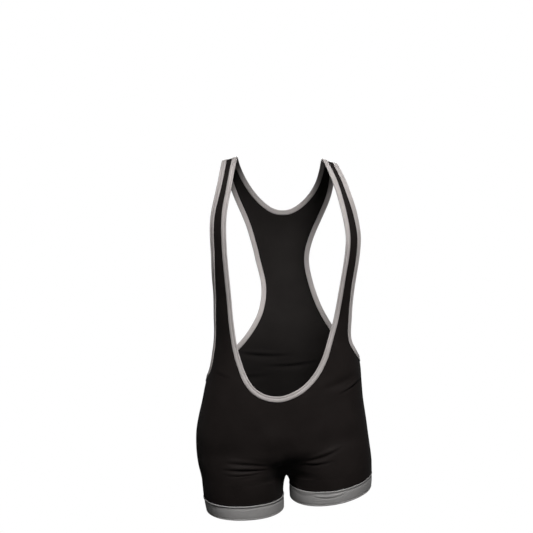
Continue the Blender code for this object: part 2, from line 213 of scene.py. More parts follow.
@dataclass
class Figure:
    """The general figure that the cloth lies on: rings, rounded shoulders and two legs."""

    shoulder: float = 0.0
    chest: float = -0.16
    hip: float = -0.57
    crotch: float = -0.641
    leg_drop: tuple[float, float] = (0.037, 0.017)
    hem_rise: tuple[float, float] = (0.013, 0.008)
    hem_dip: tuple[float, float] = (0.0015, 0.007)
    leg_gap: float = 0.008
    leg_arch: float = 0.030
    shoulder_slope: float = 0.30
    strap_reach: float = 0.10
    level_rounds: int = 3
    bisections: int = 40

    def __post_init__(self) -> None:
        """Works out the slopes of the table of sections."""
        self.rows = np.array(FIGURE)
        self.drops = -self.rows[:, 0]
        self.slopes = np.gradient(self.rows, self.drops, axis=0)

    def at(self, height: float) -> Section:
        """The figure's section at any height, on a smooth curve through the table.

        Args:
            height: Height in the cut.

        Returns:
            The section there.
        """
        drop = min(max(-height, self.drops[0]), self.drops[-1])
        row = min(int(np.searchsorted(self.drops, drop, side="right")) - 1, len(FIGURE) - 2)
        span = self.drops[row + 1] - self.drops[row]
        return Section(
            *hermite(
                self.rows[row],
                self.rows[row + 1],
                self.slopes[row] * span,
                self.slopes[row + 1] * span,
                (drop - self.drops[row]) / span,
            )
        )

    def dome(self, height: float) -> float:
        """Share of the chest's depth left above the chest, rounding over to 0 at the top.

        Args:
            height: Height in the cut.

        Returns:
            The share, 0 to 1.
        """
        if height <= self.chest:
            return 1.0
        rise = (height - self.chest) / (self.shoulder - self.chest)
        return math.sqrt(max(0.0, 1 - rise**2))

    def split(self, height: float, half: float) -> tuple[float, float]:
        """Centre and half width of one leg's ring.

        Args:
            height: Level of the ring.
            half: Half width of the whole figure there.

        Returns:
            How far from the middle the ring's centre is, and its half width.
        """
        if height >= self.hip:
            return 0.0, half
        if height >= self.crotch:
            share = (self.hip - height) / (self.hip - self.crotch)
            return half * share / (1 + share), half / (1 + share)
        opened = min(1.0, (self.crotch - height) / self.leg_arch)
        gap = self.leg_gap * math.sqrt(1 - (1 - opened) ** 2)
        return (half + gap) / 2, (half - gap) / 2

    def point(self, side: int, height: float, angle: float) -> np.ndarray:
        """A point on the cloth's inner face, with its place in the cut.

        Args:
            side: -1 or 1, for the half at -X or +X.
            height: Height in the cut.
            angle: Radians from the front, over the side, to the back.

        Returns:
            X, Y and Z, then the angle and the height in the cut.
        """
        number = (side + 1) // 2
        turned = angle + side * math.radians(self.at(height).turn)
        slope = math.tan(math.radians(self.at(height).tilt))
        level = height
        for _ in range(self.level_rounds):
            ring = self.at(level)
            centre, half = self.split(height, (ring.right - ring.left) / 2)
            swell = 1 + ring.square * math.cos(turned) ** 2
            x = side * (centre + half * math.sin(turned) * swell)
            if height < self.chest:
                level = height + slope * x
        depth = (ring.front if math.cos(turned) > 0 else ring.back) * self.dome(height)
        y = ring.centre - depth * math.cos(turned) * (1 + ring.square * math.sin(turned) ** 2)
        rounding = min(1.0, max(0.0, (height - self.chest) / (self.shoulder - self.chest)))
        z = height + slope * x - self.shoulder_slope * (abs(x) - self.strap_reach) * rounding
        leg = self.hip - self.crotch + self.leg_drop[number]
        hemmed = min(1.0, max(0.0, (self.hip - height) / leg))
        rise = self.hem_rise[number] * (1 + math.sin(angle)) / 2
        z += hemmed**2 * (rise - self.hem_dip[number] * math.cos(angle) ** 2)
        return np.array(((ring.left + ring.right) / 2 + x, y, z, angle, height))

    def inner_angle(self, height: float) -> float:
        """Angle, 0 or less, at which a leg's front half ends on the middle or the inseam.

        Args:
            height: Height in the cut.

        Returns:
            The angle, in radians.
        """
        if height >= self.hip:
            return 0.0
        if height <= self.crotch:
            return -math.pi / 2
        share = (self.hip - height) / (self.hip - self.crotch)
        low, high = -math.pi / 2, 0.0
        square = self.at(height).square
        for _ in range(self.bisections):
            guess = (low + high) / 2
            if math.sin(guess) * (1 + square * math.cos(guess) ** 2) < -share:
                low = guess
            else:
                high = guess
        return (low + high) / 2


def through(
    points: np.ndarray,
    stops: np.ndarray,
    before: np.ndarray | None = None,
    after: np.ndarray | None = None,
) -> np.ndarray:
    """Smooth curves through rows of points, read at chosen stops.

    Args:
        points: Rows of points; the first three numbers of each are its place.
        stops: Where to read the curves, counted in rows.
        before: The row that would come before the first, or None to carry the curve on.
        after: The row that would come after the last, or None.

    Returns:
        One row of points for each stop.
    """
    if before is None:
        before = 3 * points[0] - 3 * points[1] + points[2]
    if after is None:
        after = 3 * points[-1] - 3 * points[-2] + points[-3]
    padded = np.concatenate([before[None], points, after[None]])
    padded[0, ..., 3:] = 2 * points[0, ..., 3:] - points[1, ..., 3:]
    padded[-1, ..., 3:] = 2 * points[-1, ..., 3:] - points[-2, ..., 3:]
    ways = np.diff(padded, axis=0)
    chords = np.maximum(np.linalg.norm(ways[..., :3], axis=-1, keepdims=True), TINY)
    paces = ways / chords
    slopes = (chords[1:] * paces[:-1] + chords[:-1] * paces[1:]) / (chords[1:] + chords[:-1])
    rows = np.minimum(stops.astype(int), len(points) - 2)
    shares = (stops - rows).reshape(-1, *[1] * (points.ndim - 1))
    spans = chords[1:-1][rows]
    return hermite(
        points[rows], points[rows + 1], slopes[rows] * spans, slopes[rows + 1] * spans, shares
    )


class Stretch(NamedTuple):
    """Rows of one edge between two corners, and what the curve would meet past them."""

    first: int
    last: int
    before: np.ndarray | None
    after: np.ndarray | None


@dataclass
class Pattern:
    """The cut laid on the figure, as the solids have it, and then drawn through finely."""

    figure: Figure
    # The solids' rows and columns, and how the cloth is drawn smooth at the crotch
    columns: int = 10
    steps: int = 2
    crotch_rows: int = 6
    leg_shares: tuple[float, ...] = (0.14, 0.32, 0.55, 0.78, 1.0)
    band_height: float = 0.028
    nape: int = 12
    relax_reach: float = 0.055
    relax_rounds: int = 14
    relax_on_legs: float = 0.2
    # The fine rows and columns
    pitch: float = 0.0030
    columns_between: int = 6
    edge_stop: float = 0.07
    hem_stops: tuple[float, ...] = (0.07, 0.16, 0.30)
    # Evening them at the armholes' foot, at the fork and on the thighs
    least: float = 0.02
    foot_rows: float = 10.0
    foot_rounds: int = 60
    foot_sideways: float = 0.5
    foot_pull: float = 4.0
    fork_rows: float = 13.0
    fork_rounds: int = 60
    fork_reach: float = 0.012
    hem_rows: float = 8.0
    thigh_rounds: int = 2
    thigh_rows: float = 12.0
    thigh_clear: float = 0.028
    thigh_depth: float = 0.006
    thigh_steps: tuple[float, ...] = (0.004, 0.008, 0.012)

    def __post_init__(self) -> None:
        """Lays the cut out, coarse and fine."""
        self.foot = (len(FRONT_CUT) - 1) * self.steps
        self.crotch_row = len(TRUNK) + self.crotch_rows - 1
        self.hem_row = self.crotch_row + len(self.leg_shares)
        fronts = [self.upper(side, Face.FRONT) for side in SIDES]
        backs = [self.upper(side, Face.BACK) for side in SIDES]
        self.lower = self.relaxed(np.array([self.lower_rows(side) for side in SIDES]))
        self.coarse = {Face.FRONT: [], Face.BACK: []}
        for number, half in enumerate(self.lower):
            ahead = half[: self.hem_row + 1, : self.columns + 1]
            behind = half[: self.hem_row + 1, : self.columns - 1 : -1]
            self.coarse[Face.FRONT].append(np.concatenate([fronts[number], ahead]))
            self.coarse[Face.BACK].append(np.concatenate([backs[number], behind]))
        self.crotch = self.foot + 1 + self.crotch_row
        self.place_stops()
        rows = {face: [self.fine_rows(face, number) for number in (0, 1)] for face in Face}
        self.fine = {face: [self.drawn(rows, face, number) for number in (0, 1)] for face in Face}
        self.calm()

    def edge(self, face: Face, column: str) -> list[np.ndarray]:
        """Heights and angles down one edge of half a panel, above the armholes' foot.

        Args:
            face: Front or back.
            column: "arm" or "neck".

        Returns:
            One pair for each row of cloth.
        """
        cut, other = (FRONT_CUT, BACK_CUT) if face is Face.FRONT else (BACK_CUT, FRONT_CUT)
        if column == "arm":
            past = (other[-2].arm_height, 180 - other[-2].arm_angle)
            return self.run([(row.arm_height, row.arm_angle) for row in cut], past)
        neck = [(row.neck_height, row.neck_angle) for row in cut]
        centre = len(cut) - 1 if face is Face.FRONT else self.nape // self.steps
        run = self.run(neck[: centre + 1], (neck[centre - 1][0], -neck[centre - 1][1]))
        if centre < len(neck) - 1:
            run += self.run(neck[centre:], (2 * neck[-1][0] - neck[-2][0], 0.0))[1:]
        return run

    def run(
        self, pairs: Sequence[tuple[float, float]], past: tuple[float, float]
    ) -> list[np.ndarray]:
        """Pairs on a curve through a table's rows, with steps of them for each row.

        Args:
            pairs: Height and angle of each row.
            past: The pair that would come after the last.

        Returns:
            The pairs.
        """
        points = np.array(pairs, float)
        padded = np.vstack([2 * points[0] - points[1], points, past])
        run = []
        for row in range(1, len(points)):
            start = (padded[row + 1] - padded[row - 1]) / 2
            end = (padded[row + 2] - padded[row]) / 2
            for step in range(self.steps):
                share = step / self.steps
                run.append(hermite(padded[row], padded[row + 1], start, end, share))
        run.append(points[-1])
        return run

    def upper(self, side: int, face: Face) -> np.ndarray:
        """Half a panel's points from the shoulder to the foot of the armhole.

        Args:
            side: -1 or 1, for the half at -X or +X.
            face: Front or back.

        Returns:
            Rows of points, each from the neck's edge to the armhole's.
        """
        rows = []
        back = face is Face.BACK
        for arm, neck in zip(self.edge(face, "arm"), self.edge(face, "neck")):
            slip = side * self.figure.at(arm[0]).slip * (-1 if back else 1)
            row = []
            for column in range(self.columns + 1):
                share = column / self.columns
                bent = share + (smooth(share) - share) * len(rows) / self.foot
                height = neck[0] + (arm[0] - neck[0]) * bent
                angle = neck[1] + (arm[1] + slip - neck[1]) * share
                turned = math.radians(180 - angle if back else angle)
                row.append(self.figure.point(side, height, turned))
            rows.append(row)
        return np.array(rows)

    def lower_rows(self, side: int) -> np.ndarray:
        """One side's points below the armholes' foot, from the front centre to the back.

        Args:
            side: -1 or 1, for the half at -X or +X.

        Returns:
            Rows of points, down to the foot of the leg's band.
        """
        figure = self.figure
        drop = figure.leg_drop[(side + 1) // 2]
        levels = [tuple(level) for level in TRUNK]
        for row in range(1, self.crotch_rows + 1):
            share = row / self.crotch_rows
            share = (share + math.sin(share * math.pi / 2)) / 2
            levels.append((figure.hip - (figure.hip - figure.crotch) * share,) * 3)
        levels += [(figure.crotch - drop * share,) * 3 for share in self.leg_shares]
        levels.append((figure.crotch - drop - self.band_height,) * 3)
        rows = []
        for at_side, at_front, at_back in levels:
            inner = figure.inner_angle(at_front)
            row = []
            for share in np.linspace(0, 1, self.columns + 1):
                height = at_front + (at_side - at_front) * smooth(share)
                row.append(figure.point(side, height, inner + (math.pi / 2 - inner) * share))
            for share in np.linspace(0, 1, self.columns + 1)[-2::-1]:
                height = at_back + (at_side - at_back) * smooth(share)
                angle = math.pi - inner + (inner - math.pi / 2) * share
                row.append(figure.point(side, height, angle))
            rows.append(row)
        return np.array(rows)

    def relaxed(self, halves: np.ndarray) -> np.ndarray:
        """Both sides' lower rows with the cloth between the thighs drawn taut and smooth.

        Args:
            halves: The rows of both sides.

        Returns:
            The same rows, drawn smooth.
        """
        points = halves[..., :3].copy()
        crotch_row, hem_row = self.crotch_row, self.hem_row
        crotch = points[0, crotch_row, 0].copy()
        distance = np.linalg.norm(points - crotch, axis=-1)
        fade = np.ones(points.shape[1])
        fade[crotch_row : hem_row + 1] = np.linspace(
            self.relax_on_legs, 0, hem_row + 1 - crotch_row
        )
        fade[hem_row:] = 0
        fade[0] = 0
        weight = np.exp(-((distance / self.relax_reach) ** 2)) * fade[None, :, None]
        on_leg = (np.arange(points.shape[1]) > crotch_row)[None, :, None]
        for _ in range(self.relax_rounds):
            before, after = np.roll(points, 1, axis=2), np.roll(points, -1, axis=2)
            other = points[::-1]
            before[:, :, 0] = np.where(on_leg, points[:, :, -2], other[:, :, 1])
            after[:, :, -1] = np.where(on_leg, points[:, :, 1], other[:, :, -2])
            above, below = np.roll(points, 1, axis=1), np.roll(points, -1, axis=1)
            drawn = (before + after + above + below) / 4
            points = points + weight[..., None] * (drawn - points)
            points[:, crotch_row, (0, -1)] = crotch
        return np.concatenate([points, halves[..., 3:]], axis=-1)

    def place_stops(self) -> None:
        """Chooses the fine rows and columns, closer together at the seams and the hem."""
        grids = np.array(self.coarse[Face.FRONT] + self.coarse[Face.BACK])[..., :3]
        drops = np.linalg.norm(np.diff(grids, axis=1), axis=-1).max(axis=(0, 2))
        counts = np.ceil(drops / self.pitch).astype(int)
        rows = [row + step / count for row, count in enumerate(counts) for step in range(count)]
        last = len(counts)
        rows = [row for row in rows if row < last - max(self.hem_stops)]
        self.rows = np.array(rows + sorted(last - stop for stop in self.hem_stops) + [last])
        columns = np.linspace(0, self.columns, self.columns * self.columns_between + 1)
        edges = (self.edge_stop, self.columns - self.edge_stop)
        self.across = np.sort(np.concatenate([columns, edges]))
        self.fine_foot = int(np.argmin(np.abs(self.rows - self.foot)))
        self.fine_nape = int(np.argmin(np.abs(self.rows - self.nape)))
        self.fine_crotch = int(np.argmin(np.abs(self.rows - self.crotch)))

    def stretches(self, face: Face, number: int) -> dict[int, list[Stretch]]:
        """How the curves down a panel's two outer columns break at its corners.

        Args:
            face: Front or back.
            number: 0 for the half at -X, 1 for the other.

        Returns:
            Stretches for the first column and for the last.
        """
        own, mirror = self.coarse[face][number], self.coarse[face][1 - number]
        other = self.coarse[face.other()][number]
        below = self.lower[number][self.hem_row + 1]
        middle_foot = below[0]
        centre = self.foot if face is Face.FRONT else self.nape
        fork, last = self.crotch, len(own) - 1
        inseams = (own[fork + 1, 0] + mirror[fork + 1, 0]) / 2
        rises = (own[fork - 1, 0] + other[fork - 1, 0]) / 2
        return {
            0: [
                Stretch(0, centre, other[1, 0], mirror[centre - 1, 0]),
                Stretch(centre, fork, None, inseams),
                Stretch(fork, last, rises, middle_foot),
            ],
            -1: [
                Stretch(0, self.foot, other[1, -1], other[self.foot - 1, -1]),
                Stretch(self.foot, last, None, below[self.columns]),
            ],
        }

    def fine_rows(self, face: Face, number: int) -> np.ndarray:
        """Half a panel with all its rows, and the coarse columns.

        Args:
            face: Front or back.
            number: 0 for the half at -X, 1 for the other.

        Returns:
            Grid of places, angles and heights.
        """
        own = self.coarse[face][number]
        other = self.coarse[face.other()][number]
        below = self.lower[number][self.hem_row + 1]
        below = below[: self.columns + 1] if face is Face.FRONT else below[: self.columns - 1 : -1]
        fine = through(own, self.rows, other[1], below)
        for column, stretches in self.stretches(face, number).items():
            parts = []
            for first, last, before, after in stretches:
                stops = self.rows[(self.rows >= first) & (self.rows <= last)] - first
                part = through(own[first : last + 1, column], stops, before, after)
                parts.append(part[1:] if parts else part)
            fine[:, column] = np.concatenate(parts)
        return fine

    def beside(
        self, grids: dict[Face, list[np.ndarray]], face: Face, number: int
    ) -> tuple[np.ndarray, np.ndarray]:
        """Points that lie before half a panel's first column and after its last.

        Args:
            grids: Both halves of both panels.
            face: Front or back.
            number: 0 for the half at -X, 1 for the other.

        Returns:
            The column before, and the column after.
        """
        own, mirror = grids[face][number], grids[face][1 - number]
        other = grids[face.other()][number]
        centre = self.fine_foot if face is Face.FRONT else self.fine_nape
        fork = self.fine_crotch + 1
        before = 3 * own[:, 0] - 3 * own[:, 1] + own[:, 2]
        before[centre:fork] = mirror[centre:fork, 1]
        before[fork:] = other[fork:, 1]
        after = 3 * own[:, -1] - 3 * own[:, -2] + own[:, -3]
        after[self.fine_foot :] = other[self.fine_foot :, -2]
        return before, after

    def drawn(self, rows: dict[Face, list[np.ndarray]], face: Face, number: int) -> np.ndarray:
        """Half a panel with all its rows and columns.

        Args:
            rows: Both halves of both panels with all their rows.
            face: Front or back.
            number: 0 for the half at -X, 1 for the other.

        Returns:
            Grid of places, angles and heights, from the neck or centre to the armhole or side.
        """
        before, after = self.beside(rows, face, number)
        columns = rows[face][number].swapaxes(0, 1)
        return through(columns, self.across, before, after).swapaxes(0, 1)

    def calm(self) -> None:
        """Evens the cloth where the cut's corners bunch its rows, and where the legs part."""
        rows = np.arange(len(self.rows))
        at_foot = np.exp(-(((rows - self.fine_foot) / self.foot_rows) ** 2))
        weight = np.repeat(at_foot[:, None], len(self.across), axis=1)
        weight[:, (0, -1)] = 0
        self.ease({face: [weight] * 2 for face in Face}, self.foot_rounds, self.foot_sideways)
        pull = np.minimum(1.0, self.foot_pull * weight)
        for number, side in enumerate(SIDES):
            for face in Face:
                half = self.fine[face][number]
                for row, column in np.argwhere(weight > self.least):
                    angle, height = half[row, column, 3:]
                    place = self.figure.point(side, height, angle)[:3]
                    half[row, column, :3] += pull[row, column] * (place - half[row, column, :3])
        at_fork = np.exp(-(((rows - self.fine_crotch) / self.fork_rows) ** 2))
        at_fork *= np.clip((rows[-1] - rows) / self.hem_rows, 0, 1)
        fork = self.fine[Face.FRONT][0][self.fine_crotch, 0, :3]
        weights = {}
        for face, halves in self.fine.items():
            away = [np.linalg.norm(half[..., :3] - fork, axis=-1) for half in halves]
            near = [np.exp(-((distance / self.fork_reach) ** 2)) for distance in away]
            weights[face] = [at_fork[:, None] * (1 - share) for share in near]
        self.ease(weights, self.fork_rounds, 0.0)
        for _ in range(self.thigh_rounds):
            self.level_thighs()

    def level_thighs(self) -> None:
        """Evens how deep the thighs' cloth lies above and below the row where the legs part."""
        fork = self.fine[Face.FRONT][0][self.fine_crotch, 0, :3]
        rows = np.arange(len(self.rows))
        fade = np.exp(-(((rows - self.fine_crotch) / self.thigh_rows) ** 2))
        fade *= np.clip((rows[-1] - rows) / self.hem_rows, 0, 1)
        for half in [*self.fine[Face.FRONT], *self.fine[Face.BACK]]:
            points = half[..., :3].reshape(-1, 3)
            quads = grid_quads(np.arange(len(points)).reshape(half.shape[:2]))
            normals = vertex_normals(points, quads)
            tree = BVHTree.FromPolygons(points.tolist(), quads.tolist())
            away = np.linalg.norm(points - fork, axis=-1) / self.thigh_clear
            share = np.repeat(fade, half.shape[1]) * smooth(np.clip(away - 1, 0, 1))
            ways = unit(Z_AXIS - normals * normals[:, 2:])
            moves = np.zeros(len(points))
            for index in np.flatnonzero(share > self.least):
                normal, found = normals[index], [0.0]
                for step in self.thigh_steps:
                    pair = []
                    for way in (-step, step):
                        start = points[index] + ways[index] * way + normal * self.thigh_depth
                        hit = tree.ray_cast(Vector(start), Vector(-normal), 2 * self.thigh_depth)
                        pair += [] if hit[0] is None else [self.thigh_depth - hit[3]]
                    found += pair if len(pair) == 2 else []
                moves[index] = share[index] * sum(found) / len(found)
            half[..., :3] += (normals * moves[:, None]).reshape(half[..., :3].shape)

    def ease(self, weights: dict[Face, list[np.ndarray]], rounds: int, sideways: float) -> None:
        """Draws the fine points towards their neighbours.

        Args:
            weights: How far each point goes in a round, 0 to 1.
            rounds: How many rounds.
            sideways: Share of the neighbours in the same row, 0 to 1.
        """
        gaps = np.diff(self.across)
        gaps = np.concatenate([gaps[:1], gaps, gaps[-1:]])[:, None]
        for _ in range(rounds):
            fresh = {}
            for face, halves in self.fine.items():
                fresh[face] = []
                for number, own in enumerate(halves):
                    before, after = self.beside(self.fine, face, number)
                    before[:, 3:] = 2 * own[:, 0, 3:] - own[:, 1, 3:]
                    after[:, 3:] = 2 * own[:, -1, 3:] - own[:, -2, 3:]
                    wide = np.concatenate([before[:, None], own, after[:, None]], axis=1)
                    along = wide[:, :-2] * gaps[1:] + wide[:, 2:] * gaps[:-1]
                    along /= gaps[1:] + gaps[:-1]
                    drawn = own.copy()
                    drawn[1:-1] = (own[:-2] + own[2:]) / 2
                    drawn[1:-1] += sideways * (along - drawn)[1:-1]
                    fresh[face].append(own + weights[face][number][..., None] * (drawn - own))
            self.fine = fresh

    def hem_rings(self, number: int) -> tuple[np.ndarray, np.ndarray]:
        """The hem of one leg and the foot of its band, as closed rings from the inseam.

        Args:
            number: 0 for the half at -X, 1 for the other.

        Returns:
            The hem's ring and the foot's.
        """
        rings = []
        for row in (self.hem_row, self.hem_row + 1):
            ring = self.lower[number][row]
            stops = np.concatenate([self.across[:-1], 2 * self.columns - self.across[:0:-1]])
            rings.append(through(ring, stops, ring[-2], ring[1]))
        return rings[0], rings[1]


# ---------------------------------------------------------------- creases


class Crease(NamedTuple):
    """A soft ridge or trough in the cloth, given with its sizes in mm.

    Seen from outside, the soft side is on the left of the way the path runs, and the steep
    side, with the trough beneath it, on the right. The path is in X and Z.
    """

    face: Face
    width: float
    height: float
    trough: float
    steep: float
    peak: float
    path: tuple[tuple[float, float], ...]


CREASES = (
    # The belly's soft round, and broad hollows under it where the thighs begin
    Crease(
        Face.FRONT, 24.0, 3.5, 0.0, 1.0, 0.5,
        ((-0.060, -0.5460), (-0.016, -0.5480), (0.026, -0.5440)),
    ),
    Crease(
        Face.FRONT, 24.0, -15.0, 0.0, 0.6, 0.35,
        ((-0.034, -0.6160), (0.012, -0.6140), (0.048, -0.5980), (0.076, -0.5660)),
    ),
    Crease(
        Face.FRONT, 19.0, -8.0, 0.0, 0.6, 0.65,
        ((-0.108, -0.5940), (-0.072, -0.6040), (-0.034, -0.6120), (0.012, -0.6180)),
    ),
    # Drag lines on the right thigh, running in to the fork
    Crease(
        Face.FRONT, 4.2, 2.0, 0.8, 1.6, 0.35,
        ((-0.122, -0.5945), (-0.088, -0.5955), (-0.052, -0.5990), (-0.024, -0.6050)),
    ),
    Crease(
        Face.FRONT, 4.6, 2.6, 1.0, 1.8, 0.35,
        ((-0.124, -0.6085), (-0.086, -0.6085), (-0.046, -0.6100), (-0.022, -0.6130)),
    ),
    Crease(
        Face.FRONT, 3.8, 1.7, 0.9, 1.7, 0.4,
        ((-0.122, -0.6190), (-0.092, -0.6195), (-0.056, -0.6175), (-0.030, -0.6160)),
    ),
    Crease(
        Face.FRONT, 3.4, 0.9, 0.6, 1.5, 0.6,
        ((-0.104, -0.6270), (-0.078, -0.6245), (-0.048, -0.6210)),
    ),
    # Two on the left thigh, rising outwards
    Crease(
        Face.FRONT, 4.4, 2.3, 0.9, 1.7, 0.6,
        ((0.030, -0.5955), (0.058, -0.5850), (0.084, -0.5755), (0.114, -0.5620)),
    ),
    Crease(
        Face.FRONT, 3.8, 1.9, 0.9, 1.8, 0.55,
        ((0.020, -0.6045), (0.046, -0.6000), (0.070, -0.5955), (0.100, -0.5880)),
    ),
    # One pinched in at the left flank with a dip over it, and a faint one across the right waist
    Crease(
        Face.FRONT, 3.0, 2.1, 1.1, 1.8, 0.55,
        ((0.094, -0.4670), (0.120, -0.4560), (0.144, -0.4425), (0.168, -0.4300)),
    ),
    Crease(
        Face.FRONT, 8.0, -2.4, 0.0, 1.0, 0.6,
        ((0.066, -0.4540), (0.104, -0.4460), (0.150, -0.4240)),
    ),
    Crease(
        Face.FRONT, 6.0, 0.9, 0.4, 1.2, 0.5,
        ((-0.140, -0.4190), (-0.120, -0.4260), (-0.098, -0.4345)),
    ),
    # Across the small of the back
    Crease(
        Face.BACK, 7.0, 2.2, 0.6, 1.4, 0.4,
        ((-0.098, -0.3985), (-0.040, -0.4090), (0.030, -0.4040)),
    ),
    Crease(
        Face.BACK, 6.5, 1.8, 0.5, 1.4, 0.6,
        ((-0.052, -0.4270), (0.010, -0.4310), (0.086, -0.4170)),
    ),
    Crease(
        Face.BACK, 7.5, 1.3, 0.4, 1.2, 0.4,
        ((-0.110, -0.4530), (-0.070, -0.4560), (-0.018, -0.4490)),
    ),
    # Under the seat, running in to the fork
    Crease(
        Face.BACK, 5.6, 2.6, 0.8, 1.6, 0.5,
        ((-0.122, -0.6130), (-0.082, -0.6190), (-0.034, -0.6150)),
    ),
    Crease(
        Face.BACK, 4.6, 1.8, 0.8, 1.6, 0.5,
        ((-0.100, -0.6330), (-0.070, -0.6350), (-0.036, -0.6290)),
    ),
    Crease(
        Face.BACK, 5.4, 2.4, 0.8, 1.6, 0.5,
        ((0.036, -0.6050), (0.078, -0.6040), (0.124, -0.5890)),
    ),
    Crease(
        Face.BACK, 4.4, 1.6, 0.7, 1.5, 0.4,
        ((0.040, -0.6220), (0.074, -0.6205), (0.106, -0.6080)),
    ),
    # On the bands: a long fold on the left leg's front, a short one at its inner end
    Crease(
        Face.FRONT, 2.8, 0.8, 0.7, 1.6, 0.45,
        ((0.040, -0.6570), (0.072, -0.6635), (0.104, -0.6580), (0.136, -0.6430)),
    ),
    Crease(
        Face.FRONT, 2.4, 1.0, 0.8, 1.6, 0.5,
        ((0.010, -0.6470), (0.024, -0.6530), (0.040, -0.6590)),
    ),
    Crease(
        Face.BACK, 2.6, 1.0, 0.8, 1.6, 0.5,
        ((-0.120, -0.6850), (-0.090, -0.6910), (-0.055, -0.6900)),
    ),
    Crease(
        Face.BACK, 2.6, 1.1, 0.8, 1.6, 0.5,
        ((0.060, -0.6700), (0.095, -0.6680), (0.125, -0.6600)),
    ),
)


@dataclass
class Creases:
    """The creases, dropped on the cloth, and the relief that they give it."""

    points: np.ndarray
    normals: np.ndarray
    samples: int = 28
    reach: float = 3.2
    narrow: float = 0.55
    trough_place: float = 1.15
    trough_width: float = 0.6
    fading: float = 1.5
    faces_out: float = 0.15
    neighbours: int = 6

    def __post_init__(self) -> None:
        """Drops each crease's path on the cloth."""
        self.lines = [self.dropped(crease) for crease in CREASES]

    def dropped(self, crease: Crease) -> np.ndarray:
        """A crease's path as points on the cloth.

        Args:
            crease: The crease.

        Returns:
            The points.
        """
        path = np.array(crease.path)
        path = np.column_stack([path[:, 0], np.zeros(len(path)), path[:, 1]])
        stops = np.linspace(0, len(path) - 1, self.samples)
        line = through(path, stops)
        seen = self.points[self.normals[:, 1] * crease.face.value > self.faces_out]
        for point in line:
            near = np.hypot(seen[:, 0] - point[0], seen[:, 2] - point[2])
            point[1] = seen[np.argpartition(near, self.neighbours)[: self.neighbours], 1].mean()
        return line

    def relief(self, points: np.ndarray, normals: np.ndarray) -> np.ndarray:
        """Height of every crease at points on the cloth.

        Args:
            points: Places on the cloth, one a row.
            normals: The cloth's normals there.

        Returns:
            How far each point moves out.
        """
        raised = np.zeros(len(points))
        for crease, line in zip(CREASES, self.lines):
            reach = self.reach * crease.width * MM
            low, high = line.min(axis=0) - reach, line.max(axis=0) + reach
            inside = np.flatnonzero(((points > low) & (points < high)).all(axis=1))
            if len(inside):
                raised[inside] += self.profile(crease, line, points[inside], normals[inside])
        return raised

    def profile(
        self, crease: Crease, line: np.ndarray, points: np.ndarray, normals: np.ndarray
    ) -> np.ndarray:
        """One crease's height at points near it.

        Args:
            crease: The crease.
            line: Its path on the cloth.
            points: Places on the cloth.
            normals: The cloth's normals there.

        Returns:
            Heights, in metres.
        """
        starts, ways = line[:-1], np.diff(line, axis=0)
        offs = points[:, None] - starts[None]
        shares = np.clip((offs * ways).sum(-1) / (ways * ways).sum(-1), 0, 1)
        offs = offs - shares[..., None] * ways[None]
        distances = np.linalg.norm(offs, axis=-1)
        nearest = distances.argmin(axis=1)
        each = np.arange(len(points))
        along = (nearest + shares[each, nearest]) / len(ways)
        uphill = np.cross(normals, ways[nearest])
        across = distances[each, nearest] * np.sign((offs[each, nearest] * uphill).sum(-1))
        half = np.where(along < crease.peak, along / crease.peak, (1 - along) / (1 - crease.peak))
        fade = np.sin(half * math.pi / 2)
        width = crease.width * MM * (self.narrow + (1 - self.narrow) * fade)
        place = across / width
        ridge = np.exp(-(np.where(place < 0, place * crease.steep, place) ** 2))
        trough = np.exp(-(((place + self.trough_place) / self.trough_width) ** 2))
        return crease.height * MM * fade**self.fading * (ridge - crease.trough * trough)


@dataclass(frozen=True)
class Undulation:
    """Broad, shallow unevenness of cloth, the same each time: its depth in mm, its waves in m."""

    depth: float = 0.35
    shortest: float = 0.045
    longest: float = 0.110
    waves: int = 9
    seed: int = 7

    def relief(self, points: np.ndarray) -> np.ndarray:
        """How far each point moves out.

        Args:
            points: Places on the cloth, one a row.

        Returns:
            One distance for each point.
        """
        draw = np.random.default_rng(self.seed)
        raised = np.zeros(len(points))
        for _ in range(self.waves):
            way = draw.normal(size=3)
            way *= 2 * math.pi / draw.uniform(self.shortest, self.longest) / np.linalg.norm(way)
            raised += np.sin(points @ way + draw.uniform(0, 2 * math.pi))
        return raised * self.depth * MM / math.sqrt(self.waves)


# ---------------------------------------------------------------- meshes


def grid_quads(numbers: np.ndarray) -> np.ndarray:
    """Quads over a grid of vertex numbers."""
    corners = (numbers[:-1, :-1], numbers[:-1, 1:], numbers[1:, 1:], numbers[1:, :-1])
    return np.stack([corner.ravel() for corner in corners], axis=1)


def corner_places(points: np.ndarray, quads: np.ndarray) -> list[np.ndarray]:
    """Places of the first, second, third and fourth corners of quads."""
    return [points[quads[:, corner]] for corner in range(4)]


def vertex_normals(points: np.ndarray, quads: np.ndarray, rounds: int = 0) -> np.ndarray:
    """Normals at the corners of a mesh of quads.

    Args:
        points: Places of its vertices.
        quads: Vertex numbers of its faces.
        rounds: How many times the normals are evened out.

    Returns:
        A normal of length 1 for each vertex.
    """
    first, second, third, fourth = corner_places(points, quads)
    facing = np.cross(third - first, fourth - second)
    for _ in range(rounds + 1):
        normals = np.zeros_like(points)
        for corner in range(quads.shape[1]):
            np.add.at(normals, quads[:, corner], facing)
        normals = unit(normals)
        facing = normals[quads].mean(axis=1)
    return normals


def linked(name: str, data: bpy.types.ID) -> bpy.types.Object:
    """A new object in the scene, at the origin.

    Args:
        name: Its name.
        data: Its mesh, lamp or camera.

    Returns:
        The object.
    """
    thing = bpy.data.objects.new(name, data)
    bpy.context.scene.collection.objects.link(thing)
    return thing


